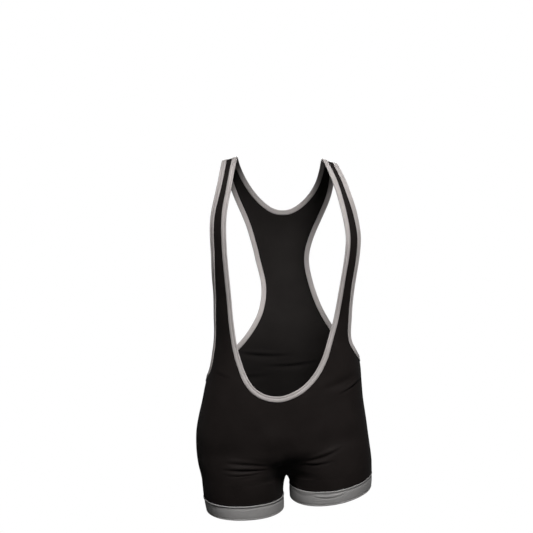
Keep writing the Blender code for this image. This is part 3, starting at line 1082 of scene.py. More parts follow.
def add_mesh(
    name: str,
    points: np.ndarray,
    quads: np.ndarray,
    cloth_map: np.ndarray,
    materials: Sequence[bpy.types.Material],
) -> bpy.types.Object:
    """A new piece from points and quads, smooth, with its cloth map.

    Args:
        name: The piece's name.
        points: Places of its vertices.
        quads: Vertex numbers of its faces, in the order that faces them out.
        cloth_map: Place in the cloth, in metres, of every corner of every quad.
        materials: Its materials.

    Returns:
        The piece, linked to the scene.
    """
    mesh = bpy.data.meshes.new(name)
    mesh.from_pydata(points.tolist(), [], quads.tolist())
    layer = mesh.uv_layers.new(name="cloth")
    layer.data.foreach_set("uv", cloth_map.reshape(-1).astype(np.float32))
    for material in materials:
        mesh.materials.append(material)
    mesh.shade_smooth()
    return linked(name, mesh)


@dataclass
class Unrolling:
    """How one side of the figure unrolls into flat cloth."""

    figure: Figure
    side: int
    drop_step: float = 0.015
    turn_step: float = math.radians(10)
    first_turn: float = -math.pi / 2
    side_turn: int = 18
    down_turn: int = 13
    inside: float = 0.001

    def __post_init__(self) -> None:
        """Measures the figure round each level from its side, and down it."""
        drops = np.arange(0, -FIGURE[-1].height + self.drop_step, self.drop_step)
        turns = self.first_turn + self.turn_step * np.arange(2 * self.side_turn + 1)
        points = np.array(
            [[self.figure.point(self.side, -drop, turn)[:3] for turn in turns] for drop in drops]
        )
        steps = np.linalg.norm(np.diff(points, axis=1), axis=-1)
        around = np.pad(np.cumsum(steps, axis=1), ((0, 0), (1, 0)))
        self.around = around - around[:, self.side_turn, None]
        self.down = lengths(points[:, self.down_turn])

    def arc(self, angle: np.ndarray, height: np.ndarray) -> np.ndarray:
        """Distance round the figure from its side.

        Args:
            angle: Angles in the cut.
            height: Heights in the cut.

        Returns:
            Distances, less than 0 in front of the side.
        """
        last_row, last_column = (size - 1 - self.inside for size in self.around.shape)
        row = np.clip(-height / self.drop_step, 0, last_row)
        column = np.clip((angle - self.first_turn) / self.turn_step, 0, last_column)
        top, left = row.astype(int), column.astype(int)
        down, across = row - top, column - left
        upper = self.around[top, left] * (1 - across) + self.around[top, left + 1] * across
        lower = self.around[top + 1, left] * (1 - across) + self.around[top + 1, left + 1] * across
        return upper * (1 - down) + lower * down

    def place(self, face: Face, angle: np.ndarray, height: np.ndarray) -> np.ndarray:
        """Places in flat cloth, in metres, measured from the panel's centre above the hip.

        Args:
            face: Front or back.
            angle: Angles in the cut.
            height: Heights in the cut.

        Returns:
            Distances across and up.
        """
        centre = np.full_like(angle, 0.0 if face is Face.FRONT else math.pi)
        middle = self.arc(centre, np.maximum(height, self.figure.hip))
        across = face.value * (middle - self.arc(angle, height))
        up = -np.interp(-height, self.drop_step * np.arange(len(self.down)), self.down)
        return np.stack([self.side * across, up], axis=-1)


@dataclass
class Sheet:
    """One panel's inner face: its vertices in both halves, their places, and its quads."""

    grids: list[np.ndarray]
    points: np.ndarray
    cut: np.ndarray
    quads: np.ndarray
    normals: np.ndarray


@dataclass
class Cloth:
    """Both panels' fine grids with their normals, creases and seams; its sizes are in mm."""

    pattern: Pattern
    wall: float = 1.2
    seam_depth: float = 0.55
    seam_width: float = 1.5
    hem_depth: float = 0.75
    hem_width: float = 1.1
    band_rows: int = 12
    normal_rounds: int = 4

    def __post_init__(self) -> None:
        """Numbers both panels' vertices, and finds their normals and relief."""
        self.sheets = {face: self.numbered(face) for face in Face}
        self.share_normals()
        grounds = [(sheet.points, sheet.normals) for sheet in self.sheets.values()]
        grounds += [self.band_ground(number) for number in (0, 1)]
        self.creases = Creases(*(np.concatenate(ground) for ground in zip(*grounds)))
        self.undulation = Undulation()
        self.outers = {face: self.outer(face) for face in Face}

    def numbered(self, face: Face) -> Sheet:
        """One panel with its vertices numbered, welded down its centre.

        Args:
            face: Front or back.

        Returns:
            The panel's inner face.
        """
        pattern = self.pattern
        halves = pattern.fine[face]
        shape = halves[0].shape[:2]
        left = np.arange(shape[0] * shape[1]).reshape(shape)
        right = left + left.size
        centre = pattern.fine_foot if face is Face.FRONT else pattern.fine_nape
        welded = slice(centre, pattern.fine_crotch + 1)
        right[welded, 0] = left[welded, 0]
        first, second = grid_quads(left), grid_quads(right)
        if face is Face.FRONT:
            second = second[:, ::-1]
        else:
            first = first[:, ::-1]
        quads = np.concatenate([first, second])
        used, flat_quads = np.unique(quads, return_inverse=True)
        renumber = np.full(2 * left.size, -1)
        renumber[used] = np.arange(len(used))
        every = np.concatenate([half.reshape(-1, half.shape[-1]) for half in halves])
        points = every[used, :3]
        quads = flat_quads.reshape(quads.shape)
        normals = vertex_normals(points, quads, self.normal_rounds)
        return Sheet([renumber[left], renumber[right]], points, every[used, 3:], quads, normals)

    def band_ground(self, number: int) -> tuple[np.ndarray, np.ndarray]:
        """Points all over one leg's band, and the way out of the leg at each.

        Args:
            number: 0 for the half at -X, 1 for the other.

        Returns:
            The points, and the ways.
        """
        hem, foot = (ring[None, :, :3] for ring in self.pattern.hem_rings(number))
        shares = np.linspace(0, 1, self.band_rows)[:, None, None]
        points = (hem + (foot - hem) * shares).reshape(-1, 3)
        return points, unit((points - points.mean(axis=0)) * (1, 1, 0))

    def share_normals(self) -> None:
        """Gives both panels the same normals where they are sewn together."""
        pattern = self.pattern
        front, back = self.sheets[Face.FRONT], self.sheets[Face.BACK]
        for ahead, behind in zip(front.grids, back.grids):
            seams = (
                (ahead[pattern.fine_foot :, -1], behind[pattern.fine_foot :, -1]),
                (ahead[pattern.fine_crotch :, 0], behind[pattern.fine_crotch :, 0]),
                (ahead[0], behind[0]),
            )
            for one, other in seams:
                mean = unit(front.normals[one] + back.normals[other])
                front.normals[one] = mean
                back.normals[other] = mean

    def dent(self, grid: np.ndarray, points: np.ndarray) -> np.ndarray:
        """How far the seams and the hem draw half a panel in.

        Args:
            grid: Vertex numbers of the half.
            points: Places of the panel's vertices.

        Returns:
            A grid of depths, 0 or less.
        """
        pattern = self.pattern
        places = points[grid]
        steps = np.linalg.norm(np.diff(places, axis=1), axis=-1)
        from_first = np.pad(np.cumsum(steps, axis=1), ((0, 0), (1, 0)))
        from_last = from_first[:, -1:] - from_first
        down = np.linalg.norm(np.diff(places, axis=0), axis=-1)
        from_hem = np.pad(np.cumsum(down[::-1], axis=0)[::-1], ((0, 1), (0, 0)))
        from_top = np.pad(np.cumsum(down, axis=0), ((1, 0), (0, 0)))
        width = self.seam_width * MM
        depth = np.zeros(grid.shape)
        rows = np.arange(len(grid))[:, None]
        depth += np.exp(-((from_last / width) ** 2)) * (rows >= pattern.fine_foot)
        depth += np.exp(-((from_first / width) ** 2)) * (rows > pattern.fine_crotch)
        depth += np.exp(-((from_top / width) ** 2))
        rolled = np.exp(-((from_hem / (self.hem_width * MM)) ** 2))
        return -MM * (self.seam_depth * depth * (1 - rolled) + self.hem_depth * rolled)

    def outer(self, face: Face) -> np.ndarray:
        """A panel's outer points, creased and drawn in at its seams.

        Args:
            face: Front or back.

        Returns:
            The points.
        """
        sheet = self.sheets[face]
        points, normals = sheet.points, sheet.normals
        relief = self.creases.relief(points, normals) + self.undulation.relief(points)
        dents = np.zeros(len(points))
        for grid in sheet.grids:
            dents[grid] = self.dent(grid, points)
        return points + normals * (self.wall * MM + relief + dents)[:, None]

    def cloth_map(self, face: Face) -> np.ndarray:
        """Where each corner of a panel's quads is in the flat cloth.

        Args:
            face: Front or back.

        Returns:
            Distances across and up, in metres.
        """
        sheet = self.sheets[face]
        places = []
        for side, grid, quads in zip(SIDES, sheet.grids, np.split(sheet.quads, 2)):
            unrolled = Unrolling(self.pattern.figure, side)
            half = np.zeros((len(sheet.points), 2))
            half[grid] = unrolled.place(face, *np.moveaxis(sheet.cut[grid], -1, 0))
            places.append(half[quads])
        return np.concatenate(places)

    def taken_up(self, heights: np.ndarray) -> np.ndarray:
        """Share of the cloth's relief that a strip sewn to it follows, by height off the figure."""
        return np.clip(heights / (self.wall * MM), 0, 1)


# ---------------------------------------------------------------- sewn sections


class Corner(NamedTuple):
    """A corner of a sewn strip's section, in mm: across it, and off the figure."""

    across: float
    height: float


BINDING_SECTION = (
    Corner(-0.45, 1.30),
    Corner(-0.60, 1.70),
    Corner(-0.30, 2.10),
    Corner(0.50, 2.35),
    Corner(2.00, 2.50),
    Corner(3.90, 2.45),
    Corner(5.20, 2.20),
    Corner(5.90, 1.70),
    Corner(6.50, 1.60),
    Corner(7.20, 1.95),
    Corner(8.20, 2.35),
    Corner(9.20, 2.30),
    Corner(9.95, 1.90),
    Corner(10.40, 1.20),
    Corner(10.35, 0.50),
    Corner(9.80, 0.10),
    Corner(8.50, 0.00),
    Corner(5.50, 0.00),
    Corner(2.00, 0.00),
    Corner(0.30, 0.00),
    Corner(0.12, 0.50),
    Corner(0.12, 1.22),
)
BAND_SECTION = (
    Corner(0.15, 0.15),
    Corner(0.12, 0.70),
    Corner(-0.40, 1.10),
    Corner(-0.55, 1.60),
    Corner(-0.05, 2.20),
    Corner(0.90, 2.55),
    Corner(1.90, 2.45),
    Corner(2.70, 1.90),
    Corner(3.40, 1.20),
    Corner(4.30, 0.95),
    Corner(5.60, 1.15),
    Corner(8.00, 1.65),
    Corner(11.0, 1.85),
    Corner(14.0, 1.95),
    Corner(17.0, 1.95),
    Corner(20.0, 1.90),
    Corner(22.6, 1.80),
    Corner(24.0, 1.55),
    Corner(24.8, 1.25),
    Corner(25.6, 1.55),
    Corner(26.6, 1.75),
    Corner(27.5, 1.45),
    Corner(27.95, 0.85),
    Corner(27.6, 0.20),
    Corner(26.0, 0.00),
    Corner(20.0, 0.00),
    Corner(14.0, 0.00),
    Corner(8.00, 0.00),
    Corner(2.00, 0.00),
)
# The corners of both sections along which stitches run
GROOVE = 8
HEM_STITCH = 18


# ---------------------------------------------------------------- finishes

Value = bpy.types.NodeSocket | float | Sequence[float]


class Mixed(Enum):
    """What a Mix node blends: its data type, and the numbers of its first input and output."""

    NUMBERS = ("FLOAT", 2, 0)
    COLOURS = ("RGBA", 6, 2)


@dataclass
class Shading:
    """Short ways of adding nodes to one tree."""

    tree: bpy.types.NodeTree

    def add(self, kind: str, **inputs: Any) -> bpy.types.Node:
        """A new node.

        Args:
            kind: The node's type.
            inputs: As for give.

        Returns:
            The node.
        """
        node = self.tree.nodes.new(kind)
        self.give(node, **inputs)
        return node

    def give(self, node: bpy.types.Node, **inputs: Any) -> None:
        """Sets a node up.

        Args:
            node: The node.
            inputs: Settings of the node, and values or sockets for its inputs, by their names
                with underscores for spaces.
        """
        for name, value in inputs.items():
            if hasattr(node, name):
                setattr(node, name, value)
            else:
                self.feed(node.inputs[name.replace("_", " ")], value)

    def feed(self, socket: bpy.types.NodeSocket, value: Value) -> None:
        """Links a socket to another, or sets its value.

        Args:
            socket: A node's input.
            value: The output to link it to, or its value.
        """
        if isinstance(value, bpy.types.NodeSocket):
            self.tree.links.new(value, socket)
        else:
            socket.default_value = value

    def calc(self, operation: str, *values: Value) -> bpy.types.NodeSocket:
        """The result of a Math node.

        Args:
            operation: What it does with its values.
            values: The values, in order.

        Returns:
            The node's output.
        """
        node = self.add("ShaderNodeMath", operation=operation)
        for socket, value in zip(node.inputs, values):
            self.feed(socket, value)
        return node.outputs[0]

    def spread(self, value: Value, low: float, high: float) -> bpy.types.NodeSocket:
        """A value drawn out so that 0 gives the first of two numbers, and 1 the second."""
        return self.calc("MULTIPLY_ADD", value, high - low, low)

    def mix(self, kind: Mixed, share: Value, first: Value, second: Value) -> bpy.types.NodeSocket:
        """A blend of two numbers or two colours.

        Args:
            kind: Numbers or colours.
            share: Share of the second, 0 to 1.
            first, second: What is blended.

        Returns:
            The blend.
        """
        data_type, start, output = kind.value
        node = self.add("ShaderNodeMix", data_type=data_type)
        for number, value in ((0, share), (start, first), (start + 1, second)):
            self.feed(node.inputs[number], value)
        return node.outputs[output]

    def by_ray(self, output: str, cast: bpy.types.NodeSocket, seen: bpy.types.NodeSocket) -> None:
        """Shows one shader to the eye and lets another light the suit.

        Args:
            output: Name of the tree's output node.
            cast: The shader that lights the suit.
            seen: The shader that is looked at.
        """
        path = self.add("ShaderNodeLightPath")
        mix = self.add("ShaderNodeMixShader")
        for socket, value in zip(mix.inputs, (path.outputs["Is Camera Ray"], cast, seen)):
            self.feed(socket, value)
        self.give(self.tree.nodes[output], Surface=mix.outputs["Shader"])


def new_group(
    name: str, place: str, sizes: dict[str, float], outputs: Sequence[str]
) -> tuple[Shading, bpy.types.NodeOutputs, bpy.types.Node]:
    """An empty shader node group.

    Args:
        name: The group's name.
        place: Name of its first input, a vector.
        sizes: Names and values of its other inputs, all of them numbers.
        outputs: Names of its outputs, all of them numbers.

    Returns:
        The group's tree, what its inputs give, and the node that its outputs are fed to.
    """
    tree = bpy.data.node_groups.new(name, "ShaderNodeTree")
    tree.interface.new_socket(place, in_out="INPUT", socket_type="NodeSocketVector")
    for label, value in sizes.items():
        socket = tree.interface.new_socket(label, in_out="INPUT", socket_type="NodeSocketFloat")
        socket.default_value = value
    for label in outputs:
        tree.interface.new_socket(label, in_out="OUTPUT", socket_type="NodeSocketFloat")
    given, made = tree.nodes.new("NodeGroupInput"), tree.nodes.new("NodeGroupOutput")
    return Shading(tree), given.outputs, made


@cache
def knit_group() -> bpy.types.NodeTree:
    """Knitted cloth: upright ribs of small loops, from a place in the cloth in metres.

    Returns:
        The node group, made once.
    """
    sizes = {"Wale": 0.0008, "Course": 0.0007, "Lean": 0.35, "Uneven": 0.0002}
    shading, given, made = new_group("knit", "Cloth", sizes, ("Height",))
    noise = shading.add("ShaderNodeTexNoise", Vector=given["Cloth"], Scale=240.0, Detail=2.0)
    stray = shading.calc("SUBTRACT", noise.outputs["Fac"], 0.5)
    stray = shading.calc("MULTIPLY", stray, given["Uneven"])
    place = shading.add("ShaderNodeSeparateXYZ", Vector=given["Cloth"])
    across = shading.calc("ADD", place.outputs["X"], stray)
    down = shading.calc("ADD", place.outputs["Y"], stray)
    wales = shading.calc("DIVIDE", across, given["Wale"])
    part = shading.calc("SUBTRACT", shading.calc("FRACT", wales), 0.5)
    from_middle = shading.calc("ABSOLUTE", part)
    rib = shading.calc("COSINE", shading.calc("MULTIPLY", from_middle, math.pi))
    courses = shading.calc("DIVIDE", down, given["Course"])
    leaning = shading.calc("MULTIPLY_ADD", from_middle, given["Lean"], courses)
    loops = shading.calc("SINE", shading.calc("MULTIPLY", leaning, 2 * math.pi))
    height = shading.calc("MULTIPLY", rib, shading.spread(loops, low=0.75, high=1.0))
    shading.give(made, Height=height)
    return shading.tree


@cache
def wear_group() -> bpy.types.NodeTree:
    """Slow unevenness of colour and a fine fuzz, from a place on the suit.

    Returns:
        The node group, made once.
    """
    sizes = {"Patches": 14.0, "Fuzz": 900.0}
    shading, given, made = new_group("wear", "Place", sizes, ("Patch", "Fuzz"))
    slow = shading.add("ShaderNodeTexNoise", Vector=given["Place"], Detail=3.0, Roughness=0.55)
    fast = shading.add("ShaderNodeTexNoise", Vector=given["Place"], Detail=2.0, Roughness=0.6)
    shading.give(slow, Scale=given["Patches"])
    shading.give(fast, Scale=given["Fuzz"])
    shading.give(made, Patch=slow.outputs["Fac"], Fuzz=fast.outputs["Fac"])
    return shading.tree


@dataclass(frozen=True)
class Fabric:
    """A knitted finish: its two colours, its gloss, and the size of its loops in mm."""

    name: str
    dark: Colour
    light: Colour
    roughness: tuple[float, float]
    gloss: float
    sheen: float
    wale: float = 0.8
    course: float = 0.8
    lean: float = 0.35
    bump: float = 0.12
    strength: float = 0.5
    # Share of painted shade: the colour darkens where the knit's loops and ribs sink
    loop_shade: float = 0.25
    fuzz: float = 0.2

    def height(self, shading: Shading, cloth: bpy.types.NodeSocket) -> bpy.types.NodeSocket:
        """Height of the loops, 0 to 1.

        Args:
            shading: The material's tree.
            cloth: Place in the cloth, in metres.

        Returns:
            The height.
        """
        knit = shading.add(
            "ShaderNodeGroup",
            node_tree=knit_group(),
            Cloth=cloth,
            Wale=self.wale * MM,
            Course=self.course * MM,
            Lean=self.lean,
        )
        return knit.outputs["Height"]

    @cache
    def material(self) -> bpy.types.Material:
        """The finish as a material.

        Returns:
            The material, made once.
        """
        material = bpy.data.materials.new(self.name)
        material.use_nodes = True
        shading = Shading(material.node_tree)
        cloth = shading.add("ShaderNodeUVMap", uv_map="cloth").outputs["UV"]
        place = shading.add("ShaderNodeTexCoord").outputs["Object"]
        wear = shading.add("ShaderNodeGroup", node_tree=wear_group(), Place=place)
        loops = self.height(shading, cloth)
        # Painted shade: darker in the low parts of the knit, between its loops and ribs; the
        # patches add random tone
        shade = shading.calc("MULTIPLY", shading.calc("SUBTRACT", loops, 0.5), self.loop_shade)
        shade = shading.calc("ADD", shade, wear.outputs["Patch"])
        ramp = shading.add("ShaderNodeMapRange", Value=shade, From_Min=0.25, From_Max=0.75)
        dark, light = (*self.dark, 1.0), (*self.light, 1.0)
        relief = shading.calc("MULTIPLY_ADD", wear.outputs["Fuzz"], self.fuzz, loops)
        bump = shading.add(
            "ShaderNodeBump", Strength=self.strength, Distance=self.bump * MM, Height=relief
        )
        shading.give(
            material.node_tree.nodes["Principled BSDF"],
            Base_Color=shading.mix(Mixed.COLOURS, ramp.outputs["Result"], dark, light),
            Roughness=shading.spread(wear.outputs["Fuzz"], *self.roughness),
            Specular_IOR_Level=self.gloss,
            Sheen_Weight=self.sheen,
            Sheen_Roughness=0.45,
            Normal=bump.outputs["Normal"],
        )
        return material


@dataclass(frozen=True)
class ElasticFabric(Fabric):
    """A binding's finish: slanting ribs up to its groove, lines along it past the groove."""

    groove: float = 6.0
    rib: float = 1.5
    line: float = 0.9

    def height(self, shading: Shading, cloth: bpy.types.NodeSocket) -> bpy.types.NodeSocket:
        """Height of the ribs and lines, 0 to 1.

        Args:
            shading: The material's tree.
            cloth: Place in the cloth, in metres.

        Returns:
            The height.
        """
        place = shading.add("ShaderNodeSeparateXYZ", Vector=cloth)
        slant = shading.calc("ADD", place.outputs["X"], place.outputs["Y"])
        heights = []
        for way, apart in ((slant, self.rib), (place.outputs["Y"], self.line)):
            turns = shading.calc("MULTIPLY", way, 2 * math.pi / (apart * MM))
            heights.append(shading.spread(shading.calc("SINE", turns), low=0.5, high=1.0))
        past = shading.calc("GREATER_THAN", place.outputs["Y"], self.groove * MM)
        return shading.mix(Mixed.NUMBERS, past, *heights)


JERSEY = Fabric(
    name="jersey",
    dark=(0.0100, 0.0076, 0.0070),
    light=(0.0155, 0.0122, 0.0114),
    roughness=(0.60, 0.74),
    gloss=0.09,
    sheen=0.02,
    wale=0.75,
    course=0.62,
)
REVERSE = Fabric(
    name="jersey_reverse",
    dark=(0.010, 0.0085, 0.0080),
    light=(0.015, 0.013, 0.0122),
    roughness=(0.75, 0.90),
    gloss=0.10,
    sheen=0.05,
    wale=0.62,
    course=0.75,
)
SILVER = ElasticFabric(
    name="binding_knit",
    dark=(0.37, 0.340, 0.330),
    light=(0.49, 0.455, 0.445),
    roughness=(0.50, 0.65),
    gloss=0.25,
    sheen=0.05,
    bump=0.14,
    strength=0.6,
    loop_shade=0.35,
    groove=sum(math.dist(a, b) for a, b in zip(BINDING_SECTION[:GROOVE], BINDING_SECTION[1:])),
)
GREY = Fabric(
    name="band_knit",
    dark=(0.27, 0.262, 0.258),
    light=(0.36, 0.350, 0.345),
    roughness=(0.50, 0.65),
    gloss=0.35,
    sheen=0.10,
    wale=0.90,
)
BLACK_THREAD = Fabric(
    name="black_thread",
    dark=(0.006, 0.005, 0.005),
    light=(0.012, 0.011, 0.010),
    roughness=(0.40, 0.50),
    gloss=0.30,
    sheen=0.0,
    wale=0.30,
    course=0.30,
    bump=0.03,
)
GREY_THREAD = Fabric(
    name="grey_thread",
    dark=(0.45, 0.43, 0.42),
    light=(0.58, 0.56, 0.55),
    roughness=(0.40, 0.50),
    gloss=0.40,
    sheen=0.0,
    wale=0.30,
    course=0.30,
    bump=0.03,
)


# ---------------------------------------------------------------- stitches


@cache
def stitch_tree() -> bpy.types.NodeTree:
    """Geometry Nodes that set stitches a pitch apart along lines.

    Returns:
        The tree, made once.
    """
    tree = bpy.data.node_groups.new("stitches", "GeometryNodeTree")
    tree.interface.new_socket("Lines", in_out="INPUT", socket_type="NodeSocketGeometry")
    for name in ("Pitch", "Length", "Radius"):
        tree.interface.new_socket(name, in_out="INPUT", socket_type="NodeSocketFloat")
    tree.interface.new_socket("Thread", in_out="INPUT", socket_type="NodeSocketMaterial")
    tree.interface.new_socket("Stitches", in_out="OUTPUT", socket_type="NodeSocketGeometry")
    shading = Shading(tree)
    given = shading.add("NodeGroupInput").outputs
    curve = shading.add("GeometryNodeMeshToCurve", Mesh=given["Lines"]).outputs["Curve"]
    points = shading.add(
        "GeometryNodeCurveToPoints", mode="LENGTH", Curve=curve, Length=given["Pitch"]
    ).outputs
    bead = shading.add("GeometryNodeMeshUVSphere", Segments=6, Rings=3, Radius=1.0)
    half = shading.calc("MULTIPLY", given["Length"], 0.5)
    size = shading.add("ShaderNodeCombineXYZ", X=given["Radius"], Y=given["Radius"], Z=half)
    formed = shading.add(
        "GeometryNodeTransform", Geometry=bead.outputs["Mesh"], Scale=size.outputs["Vector"]
    )
    placed = shading.add(
        "GeometryNodeInstanceOnPoints",
        Points=points["Points"],
        Instance=formed.outputs["Geometry"],
        Rotation=points["Rotation"],
    )
    real = shading.add("GeometryNodeRealizeInstances", Geometry=placed.outputs["Instances"])
    smoothed = shading.add("GeometryNodeSetShadeSmooth", Geometry=real.outputs["Geometry"])
    dressed = shading.add(
        "GeometryNodeSetMaterial", Geometry=smoothed.outputs["Geometry"], Material=given["Thread"]
    )
    shading.add("NodeGroupOutput", Stitches=dressed.outputs["Geometry"])
    return tree


class Row(NamedTuple):
    """A row of stitches: the points that it runs through, and whether it closes."""

    points: np.ndarray
    closes: bool = False


@dataclass
class Stitching:
    """Rows of stitches in one thread, joined as one piece; sizes in mm."""

    name: str
    rows: list[Row]
    thread: Fabric
    slot: str
    pitch: float = 2.6
    length: float = 2.0
    radius: float = 0.22

    def guide(self) -> bpy.types.Object:
        """The rows as bare edges.

        Returns:
            An object to sew along.
        """
        points, joins = [], []
        for row in self.rows:
            first = len(points)
            points += row.points.tolist()
            joins += [(number, number + 1) for number in range(first, len(points) - 1)]
            joins += [(len(points) - 1, first)] if row.closes else []
        lines = bpy.data.meshes.new(self.name + "_lines")
        lines.from_pydata(points, joins, [])
        return linked(self.name + "_lines", lines)

    def build(self) -> bpy.types.Object:
        """Sews the rows.

        Returns:
            The finished piece.
        """
        guide, tree = self.guide(), stitch_tree()
        sewing = guide.modifiers.new("sewing", "NODES")
        sewing.node_group = tree
        values = {
            "Pitch": self.pitch * MM,
            "Length": self.length * MM,
            "Radius": self.radius * MM,
            "Thread": self.thread.material(),
        }
        for item in tree.interface.items_tree:
            if item.in_out == "INPUT" and item.name in values:
                sewing[item.identifier] = values[item.name]
        sewn = guide.evaluated_get(bpy.context.evaluated_depsgraph_get())
        mesh = bpy.data.meshes.new_from_object(sewn)
        guide.modifiers.remove(sewing)
        bpy.data.objects.remove(guide)
        piece = linked(self.name, mesh)
        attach(piece, BODY)
        LOG.info("%s: %d faces", piece.name, len(mesh.polygons))
        return piece


@dataclass
class Sewn:
    """A piece of cloth that stands for one solid, and its rows of stitches."""

    slot: ClassVar[str]
    thread: ClassVar[Fabric]

    name: str
    node: str
    cloth: Cloth

    def hand_over(
        self,
        piece: bpy.types.Object,
        rows: list[Row],
        flat: tuple[float, float],
        area: float | None = None,
    ) -> None:
        """Sews a piece's rows, hangs the piece on the body and hides the solid that it stands for.

        Args:
            piece: The piece.
            rows: Its rows of stitches.
            flat: Width and length of its cut, in metres. Not used.
            area: Flat area, where the cut isn't a rectangle. Not used.
        """
        stitches = Stitching(self.name + "_stitches", rows, self.thread, self.slot).build()
        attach(piece, BODY)
        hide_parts(self.node)
        LOG.info("%s: %d faces", piece.name, len(piece.data.polygons))


# ---------------------------------------------------------------- panels


@dataclass
class Panel(Sewn):
    """The suit's front or its back: one piece of black jersey, with a thin wall."""

    slot: ClassVar[str] = "jersey_black"
    thread: ClassVar[Fabric] = BLACK_THREAD

    face: Face
    flat: tuple[float, float]
    area: float
    # Rows or columns of cloth from an edge to its stitches, and from a corner to their end
    beside_seam: int = 2
    above_hem: int = 3
    below_shoulder: int = 1
    short: int = 2

    def rows(self) -> list[Row]:
        """Rows of stitches beside the panel's seams and over its hems.

        Returns:
            The rows of both halves.
        """
        pattern = self.cloth.pattern
        outer = self.cloth.outers[self.face]
        ends = slice(self.short, -self.short)
        rows = []
        for grid in self.cloth.sheets[self.face].grids:
            rows += [
                Row(outer[grid[pattern.fine_foot + self.short : -1, -1 - self.beside_seam]]),
                Row(outer[grid[pattern.fine_crotch + 1 : -1, self.beside_seam]]),
                Row(outer[grid[-1 - self.above_hem, ends]]),
                Row(outer[grid[self.below_shoulder, ends]]),
            ]
        return rows

    def build(self) -> None:
        """Makes the panel and its stitches."""
        piece = add_mesh(
            self.name,
            self.cloth.outers[self.face],
            self.cloth.sheets[self.face].quads,
            self.cloth.cloth_map(self.face),
            (JERSEY.material(), REVERSE.material()),
        )
        wall = piece.modifiers.new("wall", "SOLIDIFY")
        wall.thickness = self.cloth.wall * MM
        wall.offset = -1.0
        wall.use_rim = True
        wall.material_offset = 1
        self.hand_over(piece, self.rows(), self.flat, self.area)


# ---------------------------------------------------------------- bindings and bands


def evenly(points: np.ndarray, ways: np.ndarray, pitch: float) -> tuple[np.ndarray, np.ndarray]:
    """A closed line and the ways at its points again, with points about a pitch apart.

    Args:
        points: The line's points.
        ways: A way at each of them.
        pitch: Distance from one new point to the next.

    Returns:
        The new points, and the way at each, of length 1.
    """
    run = lengths(closed(points))
    stops = np.linspace(0, run[-1], round(run[-1] / pitch) + 1)[:-1]
    spaced, turned = (
        np.stack([np.interp(stops, run, closed(values)[:, axis]) for axis in range(3)], axis=1)
        for values in (points, ways)
    )
    return spaced, unit(turned)


def tangents(points: np.ndarray) -> np.ndarray:
    """Ways along a closed run of points, at each of them."""
    return np.roll(points, -1, axis=0) - np.roll(points, 1, axis=0)


def softened(values: np.ndarray, rounds: int) -> np.ndarray:
    """A closed run of values, each drawn towards its neighbours.

    Args:
        values: The values.
        rounds: How many times they are drawn.

    Returns:
        The new values.
    """
    for _ in range(rounds):
        values = (np.roll(values, 1, axis=0) + 2 * values + np.roll(values, -1, axis=0)) / 4
    return values


def rounded(section: np.ndarray, pitch: float) -> tuple[np.ndarray, list[int]]:
    """A closed section drawn through finely.

    Args:
        section: Its corners.
        pitch: The longest step between the new corners.

    Returns:
        The new corners, and the number that each old corner has among them.
    """
    outline = closed(section)
    counts = np.ceil(np.linalg.norm(np.diff(outline, axis=0), axis=1) / pitch).astype(int)
    stops = [row + step / count for row, count in enumerate(counts) for step in range(count)]
    places = np.concatenate([[0], np.cumsum(counts)[:-1]])
    return through(outline, np.array(stops), section[-1], section[1]), places.tolist()


def swept(
    name: str, rows: np.ndarray, run: np.ndarray, widths: np.ndarray, finish: bpy.types.Material
) -> bpy.types.Object:
    """A closed strip from its section at each stop round a loop.

    Args:
        name: The piece's name.
        rows: Places, first round the loop and then round the section.
        run: Distance along the loop at each stop, with the whole length last.
        widths: Distance round the section at each corner, with the whole of it last.
        finish: Its material.

    Returns:
        The piece.
    """
    stops, corners = rows.shape[:2]
    numbers = np.arange(stops * corners).reshape(stops, corners)
    quads = grid_quads(np.pad(numbers, ((0, 1), (0, 1)), mode="wrap"))
    places = np.stack(np.meshgrid(run, widths, indexing="ij"), axis=-1).reshape(-1, 2)
    cloth_map = places[grid_quads(np.arange(len(places)).reshape(len(run), len(widths)))]
    points = rows.reshape(-1, 3)
    first, second, third, fourth = corner_places(points, quads)
    volume = (first * np.cross(second, third) + first * np.cross(third, fourth)).sum()
    if volume < 0:
        quads, cloth_map = quads[:, ::-1], cloth_map[:, ::-1]
    return add_mesh(name, points, quads, cloth_map, (finish,))


@dataclass
class Binding(Sewn):
    """A folded elastic binding, sewn over an edge of the panels."""

    slot: ClassVar[str] = "binding_silver"
    thread: ClassVar[Fabric] = GREY_THREAD

    points: np.ndarray
    normals: np.ndarray
    outwards: np.ndarray
    # In mm
    width: float = 10.5
    pitch: float = 2.2
    sway_past: float = 5.0
    # Slow unevenness of its height, as a share, with its length in metres
    soften: int = 3
    sway: float = 0.06
    sway_length: float = 0.037
    sway_drift: float = 90.0

    def build(self) -> None:
        """Makes the binding round its loop, and its stitches."""
        pitch = self.pitch * MM
        points, normals = evenly(self.points, self.normals, pitch)
        points, normals = softened(points, self.soften), softened(normals, self.soften)
        out = np.cross(tangents(points), normals)
        out = unit(out * np.sign((out * evenly(self.points, self.outwards, pitch)[1]).sum()))
        run = lengths(closed(points))
        section = np.array(BINDING_SECTION) * MM
        turns = run[:-1] * 2 * math.pi / self.sway_length + points[:, 2] * self.sway_drift
        sways = section[:, 0] > self.sway_past * MM
        raised = section[:, 1] * (1 + self.sway * np.sin(turns)[:, None] * sways)
        relief = self.cloth.undulation.relief(points)[:, None]
        raised = raised + relief * self.cloth.taken_up(section[:, 1])
        rows = points[:, None] + out[:, None] * section[:, :1]
        rows = rows + unit(normals)[:, None] * raised[..., None]
        piece = swept(self.name, rows, run, lengths(closed(section)), SILVER.material())
        flat = (self.width * MM, float(run[-1]))
        self.hand_over(piece, [Row(rows[:, GROOVE], closes=True)], flat)


